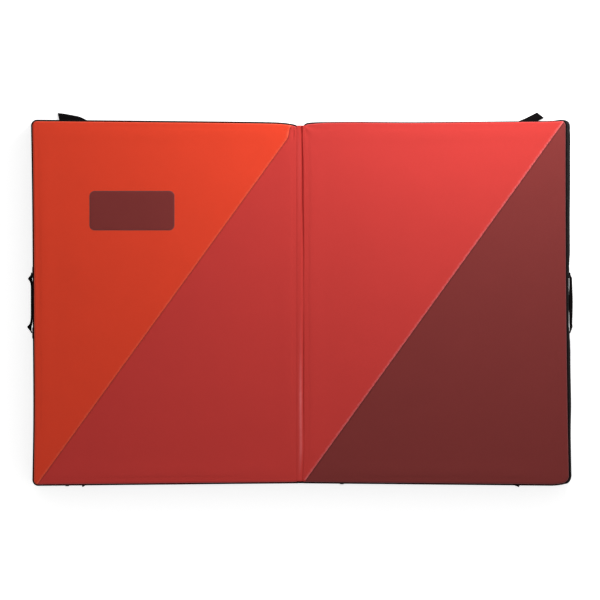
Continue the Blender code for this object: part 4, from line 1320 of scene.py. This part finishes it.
def plastic_material(name, colour, roughness):
    """Moulded plastic with a fine spark-eroded grain and a few scuffs."""
    material, tree, shader = new_material(name, Specular_IOR_Level=0.45)
    place = node(tree, "TexCoord").outputs["Object"]
    grain = cloudy(tree, place, 2600.0, 2.0)
    scuff = cloudy(tree, place, 120.0, 8.0, 0.8)
    rough = calc(tree, "ADD", roughness - 0.12, calc(tree, "MULTIPLY", scuff, 0.24))
    pale = tuple(c * 2.2 + 0.01 for c in colour)
    mark = calc(tree, "POWER", scuff, 5.0)
    mixed = blend_colours(tree, mark, opaque(colour), opaque(pale))
    connect(tree, shader, mixed, grain, 0.00006, 0.6, rough)
    return material


black_plastic = plastic_material("black_acetal", plastic_colour, 0.42)


def band_rings(path, half_wide, half_thick, corner):
    """Rings of a flat band along (centre, across way, up way) stations."""
    ring = rounded_bar(half_wide, half_thick, corner)
    return [[centre + across * a + up * b for a, b in ring] for centre, across, up in path]


def local_frame(heading):
    """The along and across ways of a piece with a heading about Z."""
    return (Vector((math.cos(heading), math.sin(heading), 0)),
            Vector((-math.sin(heading), math.cos(heading), 0)))


def dressed(cad_node, name, bevel=small_bevel, material=black_plastic, slot="black_plastic"):
    """A rigid frame node with its edges rounded off, riding on the body of its own name."""
    bm = bmesh.new()
    bm.from_mesh(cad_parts[cad_node].data)
    bmesh.ops.remove_doubles(bm, verts=bm.verts[:], dist=weld_distance)
    bmesh.ops.dissolve_limit(bm, angle_limit=math.radians(2), verts=bm.verts[:],
                             edges=bm.edges[:])
    sharp = [edge for edge in bm.edges if len(edge.link_faces) == 2
             and edge.calc_face_angle(0) > math.radians(30)]
    bmesh.ops.bevel(bm, geom=sharp, offset=bevel, offset_type="OFFSET", segments=2,
                    profile=0.6, affect="EDGES", clamp_overlap=True)
    return add_piece(name, finished_mesh(name, bm, 40.0), material, cad_node, slot, cad_node)


for side in SIDES:
    low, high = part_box(side + "_zip_tape")
    rise = (high.y - low.y - zip_tape_thickness) * -SIGN[side]
    run, back = local_frame(math.atan2(rise, high.x - low.x))
    out = -back
    foot = high.y if side == "right" else low.y + zip_tape_thickness
    start = Vector((low.x, foot, zip_height))
    name = side + "_zip_tapes"
    bm = bmesh.new()
    for half in (-1, 1):
        middle = start + out * zip_tape_thickness / 2 + UP * half * (zip_tape_half / 2 + zip_slit)
        path = [(middle + run * zip_length * step / 60, UP, out) for step in range(61)]
        bm.from_mesh(loft(f"{name}_{half}", band_rings(
            path, zip_tape_half / 2 - zip_slit, zip_tape_thickness * 0.375, 0.9)))
    add_piece(name, finished_mesh(name, bm, 40.0, turned_out=False), black_webbing,
              side + "_panel", "black_webbing", side + "_zip_tape")
    teeth = []
    for step in range(int(zip_length / zip_tooth_pitch)):
        at = start + run * zip_tooth_pitch * (step + 0.5) + out * zip_tape_thickness * 0.8
        at += UP * (zip_tooth_lean if step % 2 else -zip_tooth_lean)
        teeth.append([(at - UP * zip_tooth_half, out), (at + UP * zip_tooth_half, out)])
    stitches(side + "_zip_coil", teeth, black_plastic, side + "_panel", "black_plastic", 0.0020)

for side in SIDES:
    dressed(side + "_zip_slider", side + "_zip_pull")


# The carry handles
# A webbing handle is sewn under two bar-tacked patches on each short end. The left one is
# bunched, so it stands out at its two ends; the right one bows evenly.

handle_half_span = 0.0925
handle_axis = 0.0048
handle_rings = 73
nub_share = 0.780
handle_root_half = 0.0020
handle_spread = 0.0078
handle_lean = 0.0005
handle_bunch = 0.0007
handle_sections = {
    "left": {"middle": (-0.0008, 0.0029), "nub": (0.0054, 0.0066), "root": (0.0, 0.0019)},
    "right": {"middle": (0.0026, 0.0060), "nub": (0.0026, 0.0044), "root": (0.0, 0.0019)},
}
handle_sags = {"left": 0.0018, "right": 0.0012}
handle_thread_heights = (-0.0068, 0.0068)
handle_wall = {"left": -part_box("left_handle_patch_upper")[1].x,
               "right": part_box("right_handle_patch_upper")[0].x}
tab_sewing_inset = 0.003


def handle_section(side, place):
    """The middle and half thickness of a handle off its swing axis, fuller at its low end."""
    parts = handle_sections[side]
    share = abs(place)
    if share > nub_share:
        ease = smooth((1 - share) / (1 - nub_share)) ** 1.3
        first, second = parts["root"], parts["nub"]
    else:
        ease = (share / nub_share) ** 9 if side == "left" else smooth(share / nub_share)
        first, second = parts["middle"], parts["nub"]
    off, thick = [a + (b - a) * ease for a, b in zip(first, second)]
    return off - handle_sags[side] * place * share ** 3 * smooth((1 - share) / 0.1), thick


def doubled_bar(half_wide, half_thick):
    """The ring of two layers of webbing, one on the other, with a groove between them."""
    first, second, third, fourth = corner_arcs(half_wide, half_thick, 0.55, 4)
    groove = half_wide - min(0.0012, half_wide * 0.25)
    return first + second + [(-groove, 0.0)] + third + fourth + [(groove, 0.0)]


def handle_spot(side, share, off, height=0.0):
    """A point at a share of a handle's half span, some way off its swing axis."""
    out = handle_wall[side] - 0.0003 + handle_axis + off
    return Vector((SIGN[side] * out, share * handle_half_span, handle_height + height))


def handle_mesh(side):
    """The handle's doubled webbing, bunched where it enters its patches."""
    rings = []
    for step in range(handle_rings):
        share = math.sin(math.pi * (step / (handle_rings - 1) - 0.5))
        off, thick = handle_section(side, share)
        open_share = smooth((1 - abs(share)) / 0.13)
        lean = handle_lean * noise.noise((share * 4, SIGN[side] * 3, 0)) * open_share
        centre = handle_spot(side, share, off + lean)
        bunch = handle_bunch * math.exp(-((abs(share) - nub_share) / 0.09) ** 2)
        ring = []
        for a, b in doubled_bar(handle_root_half + handle_spread * open_share, thick):
            fold = bunch * math.sin(a * 1400 + share * 9) if b > 0 else 0.0
            ring.append(centre + Vector(((b + fold) * SIGN[side], 0, a)))
        rings.append(ring)
    return loft(side + "_handle_webbing", rings)


def handle_row(side, height):
    """A row of stitches along the outer face of a handle."""
    row = []
    for step in range(41):
        share = 0.68 * (step / 20 - 1)
        off, thick = handle_section(side, share)
        row.append((handle_spot(side, share, off + thick - 0.0001, height),
                    Vector((SIGN[side], 0, 0))))
    return row


def box_cross(centre, across, up, out, half_long, half_tall):
    """The rows of a box with a cross in it, as tabs are sewn."""
    def at(a, b):
        return centre + across * a * half_long + up * b * half_tall, out
    corners = [(-1, -1), (1, -1), (1, 1), (-1, 1)]
    rows = [[at(*corners[k]), at(*corners[(k + 1) % 4])] for k in range(4)]
    return rows + [[at(-1, -1), at(1, 1)], [at(-1, 1), at(1, -1)]]


for side in SIDES:
    add_piece(side + "_handle_webbing", handle_mesh(side), black_webbing, side + "_handle",
              "black_webbing", side + "_handle")
    stitches(side + "_handle_edge_stitches",
             [handle_row(side, height) for height in handle_thread_heights], black_thread,
             side + "_handle", "black_webbing")
    out = Vector((SIGN[side], 0, 0))
    along = Vector((0, 1, 0))
    rows = []
    for place in ("upper", "lower"):
        cad_node = f"{side}_handle_patch_{place}"
        low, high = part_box(cad_node)
        middle = (low + high) / 2
        half_thick, half_long, half_tall = (high - low) / 2
        path = [(middle + along * half_long * (step / 4 - 1), UP, out) for step in range(9)]
        name = f"{side}_{place}_handle_tab"
        add_piece(name, loft(name, band_rings(path, half_tall, half_thick, 0.6)), black_webbing,
                  side + "_panel", "black_webbing", cad_node)
        rows += box_cross(middle + out * half_thick, along, UP, out,
                          half_long - tab_sewing_inset, half_tall - tab_sewing_inset)
    stitches(side + "_handle_stitches", rows, black_thread, side + "_panel", "black_webbing")


# The closing straps
# Four webbing straps come out from under the panels. The left pair carries flat steel
# hooks and the right pair ladder sliders, which hook together over the folded pad.

webbing_half = 0.0125
webbing_thickness = 0.0018
strap_floor_gap = 0.0028
strap_tab_length = 0.028
strap_tab_thickness = 0.0054
joint_gap = 0.0003
sway_blur = 0.006
steel_colour = (0.56, 0.57, 0.58)
corner_straps = {
    "upper_left": ((-0.560, 0.519), 165.0, 0.188, "left_panel"),
    "lower_left": ((-0.565, -0.483), -147.0, 0.128, "left_panel"),
    "upper_right": ((0.562, 0.486), 27.0, 0.194, "right_panel"),
    "lower_right": ((0.522, -0.498), -20.0, 0.160, "right_panel"),
}
strap_sways = {
    "upper_left": ((0.0, 0.0), (0.096, 0.0), (0.112, -0.0038), (0.128, -0.0068),
                   (0.150, -0.0050), (0.170, -0.0034), (0.191, 0.0006)),
    "lower_left": ((0.0, 0.0), (0.128, 0.0)),
    "upper_right": ((0.0, 0.0), (0.104, 0.0), (0.125, 0.0026), (0.150, 0.0008),
                    (0.192, 0.0006)),
    "lower_right": ((0.0, 0.0), (0.160, 0.0)),
}
strap_slants = {"upper_left": -0.0045, "lower_left": 0.0030, "upper_right": -0.0058,
                "lower_right": 0.0}


def steel_material(name, colour):
    """Zinc-plated steel with fine draw marks and a cloudy plating."""
    material, tree, shader = new_material(name, Metallic=1.0)
    place = node(tree, "TexCoord").outputs["Object"]
    stretched = node(tree, "Mapping", {"Vector": place, "Scale": (300.0, 4000.0, 4000.0)})
    drawn = cloudy(tree, stretched.outputs[0], 1.0, 3.0)
    cloud = cloudy(tree, place, 90.0, 4.0)
    rough = calc(tree, "ADD", 0.22, calc(tree, "MULTIPLY", cloud, 0.28))
    mixed = blend_colours(tree, cloud, opaque(colour, 0.8), opaque(colour))
    connect(tree, shader, mixed, drawn, 0.00004, 0.5, rough)
    return material


zinc_steel = steel_material("zinc_steel", steel_colour)


def flat_strap(name, body, root, heading, start, stop, thickness, cad_node, cells,
               half_wide=webbing_half, sway=((0.0, 0.0),), slant=0.0):
    """A flat strap along a heading, which may sway sideways and be cut aslant."""
    run, across = local_frame(heading)
    reach, offs = zip(*sway)
    path = []
    for step in range(cells + 1):
        at = start + (stop - start) * step / cells
        behind, here, ahead = (np.interp(at + d, reach, offs) for d in (-sway_blur, 0.0, sway_blur))
        turn = (ahead - behind) / (2 * sway_blur)
        cut = slant * smooth((at - stop + 0.03) / 0.03) / half_wide
        centre = (root + run * at + across * ((behind + here + ahead) / 3)
                  + UP * thickness / 2)
        path.append((centre, (across - run * turn).normalized() + run * cut, UP))
    mesh = loft(name, band_rings(path, half_wide, thickness / 2, 0.7))
    return add_piece(name, mesh, black_webbing, body, "black_webbing", cad_node)


def under_stitches(name, body, root, heading, start, stop, half_wide=webbing_half):
    """A sewn box with a cross on the underside of a tab."""
    run, across = local_frame(heading)
    rows = box_cross(root + run * (start + stop) / 2, run, across, -UP,
                     (stop - start) / 2 - tab_sewing_inset, half_wide - tab_sewing_inset)
    stitches(name, rows, black_thread, body, "black_webbing")


for corner, ((x, y), degrees, reach, panel) in corner_straps.items():
    root = Vector((x, y, strap_floor_gap))
    heading = math.radians(degrees)
    strap = corner + "_strap"
    flat_strap(corner + "_closing_tab", panel, root, heading, -strap_tab_length, 0.0,
               strap_tab_thickness, strap + "_tab", 6)
    under_stitches(corner + "_tab_stitches", panel, root, heading, -strap_tab_length, 0.0)
    flat_strap(corner + "_closing_strap", strap, root, heading, joint_gap, reach,
               webbing_thickness, strap, 60, sway=strap_sways[corner],
               slant=strap_slants[corner])
    if panel == "left_panel":
        dressed(corner + "_hook", corner + "_steel_hook", material=zinc_steel, slot="steel")
    else:
        dressed(corner + "_slider", corner + "_ladder_slider")


# The carrying harness
# Padded shoulder straps and a padded hip belt are sewn to bands across the underside of
# the left panel. Ladder locks take up the shoulder webbing, and the belt has a buckle.

harness_x = -0.414
harness_level = 0.0112
harness_low = 0.0030
band_thickness = 0.0025
loop_radius = 0.0038
loop_half = 0.017
loop_leg = 0.0277
loop_root_y = 0.355
shoulder_y = 0.315
shoulder_length = 0.335
shoulder_in, shoulder_out = 0.064, 0.110
shoulder_bulge = 0.045
shoulder_wide, shoulder_narrow = 0.060, 0.046
tab_y = -0.205
belt_y = -0.285
belt_in = 0.036
wing_length = 0.185
wing_wide, wing_narrow = 0.084, 0.050
belt_webbing_length = 0.060
pad_stations = 56
bound_share = 0.28
full_share = 0.22
shoulder_channels = (0.28, 0.50, 0.72)
wing_channels = (0.36, 0.68)
shoulder_sewing_inset = 0.0065
wing_sewing_inset = 0.008
lower_tab_length = 0.034
ladder_lock_length = 0.024
buckle_bevel = 0.0006
mesh_colour = (0.020, 0.020, 0.022)

spacer_mesh = cloth_material("spacer_mesh", mesh_colour, 420.0, 0.75, 0.2, 0.2, 0.08, 0.0006)


def pad_underside(low, high, rim):
    """The level under a padded strap, a share of its half width in from its edge."""
    bound = high - (high - low) * bound_share
    return bound + (low - bound) * smooth(rim / full_share)


def pillow_ring(centre, across, half_wide, low, high):
    """A ring across a padded strap: thin bound edges and a full middle."""
    thin = (high - low) * bound_share
    ring = []
    for face in (1, -1):
        for step in range(15):
            a = face * (1 - step / 7)
            rim = 1 - abs(a)
            z = high - thin * 0.2 * (1 - smooth(rim / full_share))
            if face < 0:
                z = pad_underside(low, high, rim)
            ring.append(centre + across * a * half_wide + UP * z)
    return ring


def pad_mesh(name, stations, channels):
    """A padded strap from (centre, across, half width, low, high), pinched at channels."""
    rings = []
    for index, (centre, across, half_wide, low, high) in enumerate(stations):
        share = index / (len(stations) - 1)
        pinch = max(math.exp(-((share - channel) / 0.012) ** 2) for channel in channels)
        lower = low + (high - low) * 0.38 * pinch
        rings.append(pillow_ring(centre, across, half_wide, lower, high))
    return loft(name, rings, 50.0)


def pad_station(x, y, across, wide, swell):
    """One station of a padded strap, which swells from webbing to its full thickness."""
    low = harness_level - (harness_level - harness_low) * swell
    return Vector((x, y, 0)), Vector(across), wide / 2, low, harness_level + webbing_thickness


def shoulder_stations(way):
    """The stations of one shoulder strap in the world, from the yoke down."""
    stations = []
    for step in range(pad_stations + 1):
        share = step / pad_stations
        bulge = shoulder_bulge * math.sin(math.pi * share)
        x = harness_x + way * (shoulder_in + (shoulder_out - shoulder_in) * share + bulge)
        stations.append(pad_station(
            x, shoulder_y - joint_gap - share * shoulder_length, (1, 0, 0),
            shoulder_wide + (shoulder_narrow - shoulder_wide) * share,
            smooth(share / 0.16) * smooth((1 - share) / 0.14)))
    return stations


def wing_stations(way):
    """The stations of one wing of the hip belt."""
    stations = []
    for step in range(pad_stations // 2 + 1):
        share = step / (pad_stations // 2)
        x = harness_x + way * (belt_in + joint_gap + share * wing_length)
        stations.append(pad_station(
            x, belt_y, (0, 1, 0), wing_wide + (wing_narrow - wing_wide) * share ** 2,
            smooth(share / 0.2) * (0.12 + 0.88 * smooth((1 - share) / 0.2))))
    return stations


def edge_rows(stations, inset):
    """Two rows of stitches along a padded strap, just inside its bound edges."""
    rows = []
    for side_way in (-1, 1):
        row = []
        for centre, across, half, low, high in stations[4:-4]:
            place = centre + across * side_way * (half - inset)
            place.z = pad_underside(low, high, inset / half)
            row.append((place, -UP))
        rows.append(row)
    return rows


def add_pad(name, body, stations, channels, inset):
    """Links a padded strap and the stitches along its edges."""
    pad = add_piece(name + "_pad", pad_mesh(name + "_pad", stations, channels), spacer_mesh,
                    body, "black_cloth", body)
    stitches(name + "_stitches", edge_rows(stations, inset), black_thread, body, "black_cloth")


def sewn_band(name, cad_node):
    """A flat band of webbing across the underside, with a sewn edge all round."""
    low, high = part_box(cad_node)
    half = (high.y - low.y) / 2
    root = Vector((low.x, (low.y + high.y) / 2, low.z))
    flat_strap(name, "left_panel", root, 0.0, 0.0, high.x - low.x, high.z - low.z, cad_node,
               12, half)
    under_stitches(name + "_stitches", "left_panel", root, 0.0, 0.0, high.x - low.x, half)


for word, way in (("outer", -1), ("inner", 1)):
    add_pad(word + "_shoulder", word + "_shoulder_strap", shoulder_stations(way),
            shoulder_channels, shoulder_sewing_inset)
    dressed(word + "_adjuster", word + "_ladder_lock")
    foot = Vector((harness_x + way * shoulder_out, tab_y, harness_level))
    lock_top = shoulder_y - shoulder_length - 2 * joint_gap
    length = lock_top - ladder_lock_length - joint_gap - tab_y
    north = math.pi / 2
    flat_strap(word + "_lower_webbing", word + "_shoulder_webbing", foot, north, joint_gap,
               length, webbing_thickness, word + "_shoulder_webbing", 30)
    flat_strap(word + "_lower_tab", "left_panel", foot, north, -lower_tab_length, 0.0,
               band_thickness, word + "_webbing_tab", 6)
    under_stitches(word + "_lower_tab_stitches", "left_panel", foot, north,
                   -lower_tab_length, 0.0)

sewn_band("yoke_band", "harness_yoke")
sewn_band("hip_band", "belt_band")

for word, way in (("outer", -1), ("inner", 1)):
    body = word + "_belt_wing"
    add_pad(word + "_hip", body, wing_stations(way), wing_channels, wing_sewing_inset)
    root = Vector((harness_x + way * belt_in, belt_y, harness_level))
    near = wing_length + 2 * joint_gap
    flat_strap(word + "_hip_webbing", body, root, 0.0 if way > 0 else math.pi, near,
               near + belt_webbing_length, webbing_thickness, word + "_belt_webbing", 12)

dressed("belt_buckle_socket", "buckle_socket", buckle_bevel)
dressed("belt_buckle_plug", "buckle_plug")


def haul_loop_mesh():
    """Rolled webbing bent into a grab loop above the yoke."""
    root = Vector((harness_x, loop_root_y, harness_level - loop_radius))
    points = [root + Vector((-loop_half, joint_gap + loop_leg * step / 8, 0))
              for step in range(8)]
    for step in range(25):
        angle = math.pi * (1 - step / 24)
        points.append(root + Vector((loop_half * math.cos(angle),
                                     joint_gap + loop_leg + loop_half * math.sin(angle), 0)))
    points += [root + Vector((loop_half, joint_gap + loop_leg * (1 - step / 8), 0))
               for step in range(1, 9)]
    return loft("haul_loop_webbing", tube_rings(points, loop_radius, 16))


add_piece("haul_loop_webbing", haul_loop_mesh(), black_webbing, "haul_loop", "black_webbing",
          "haul_loop")


# The studio
# The pad lies on a plain pale floor under a soft lamp at its upper right, seen straight
# from above.

floor_colour = (0.82, 0.82, 0.82)
floor_glow = 0.70
ambient = 0.45
lamp_place = (0.85, 1.63, 1.31)
lamp_aim = (0.60, 1.10, 0.10)
lamp_size = 0.7
lamp_power = 54.0
lens = 1200.0
sensor = 36.0
view_width = 1.8335
view_middle = (-0.0023, 0.0085)
face_level = 0.121
floor_half = 30.0
floor_drop = 0.0003


def seen_directly(tree):
    """1 to the lens, to mirrors and through glass, and 0 to the light that bounces."""
    path = node(tree, "LightPath").outputs
    return calc(tree, "MAXIMUM", path["Is Camera Ray"],
                calc(tree, "MAXIMUM", path["Is Glossy Ray"], path["Is Transmission Ray"]))


def floor_material():
    """Paint that the lens sees as white and that keeps the pad's shadow."""
    material, tree, shader = new_material("floor_paint", Base_Color=opaque(floor_colour),
                                          Roughness=0.9)
    glow = node(tree, "Emission", {"Color": WHITE, "Strength": floor_glow})
    lit = node(tree, "AddShader", {0: shader.outputs[0], 1: glow.outputs[0]})
    front = calc(tree, "SUBTRACT", 1.0, node(tree, "NewGeometry").outputs["Backfacing"])
    shown = calc(tree, "MULTIPLY", seen_directly(tree), front)
    clear = node(tree, "BsdfTransparent")
    mixed = node(tree, "MixShader", {0: shown, 1: clear.outputs[0], 2: lit.outputs[0]})
    tree.links.new(mixed.outputs[0], tree.nodes["Material Output"].inputs["Surface"])
    return material


def light_world():
    """White to the lens, and an even soft light to everything else."""
    world = bpy.data.worlds.new("studio")
    world.use_nodes = True
    background = world.node_tree.nodes["Background"].inputs
    background["Color"].default_value = WHITE
    extra = calc(world.node_tree, "MULTIPLY", seen_directly(world.node_tree), 1.0 - ambient)
    world.node_tree.links.new(calc(world.node_tree, "ADD", extra, ambient),
                              background["Strength"])
    bpy.context.scene.world = world


def stand(name, data, place):
    """Links a lamp, a camera or the floor at its place."""
    made = bpy.data.objects.new(name, data)
    made.location = place
    bpy.context.scene.collection.objects.link(made)
    return made


floor_mesh = bpy.data.meshes.new("studio_floor")
floor_mesh.from_pydata([(x * floor_half, y * floor_half, -floor_drop)
                        for x, y in ((-1, -1), (1, -1), (1, 1), (-1, 1))], [], [(0, 1, 2, 3)])
floor_mesh.materials.append(floor_material())
stand("studio_floor", floor_mesh, (0, 0, 0))

light_world()

lamp = bpy.data.lights.new("key_lamp", "AREA")
lamp.size = lamp_size
lamp.energy = lamp_power
aim = Vector(lamp_aim) - Vector(lamp_place)
stand("key_lamp", lamp, lamp_place).rotation_euler = aim.to_track_quat("-Z", "Y").to_euler()

camera = bpy.data.cameras.new("camera")
camera.lens = lens
camera.sensor_width = sensor
camera.clip_end = 200.0
distance = view_width / sensor * lens
bpy.context.scene.camera = stand("camera", camera, (*view_middle, face_level + distance))
bpy.context.scene.view_settings.view_transform = "Standard"
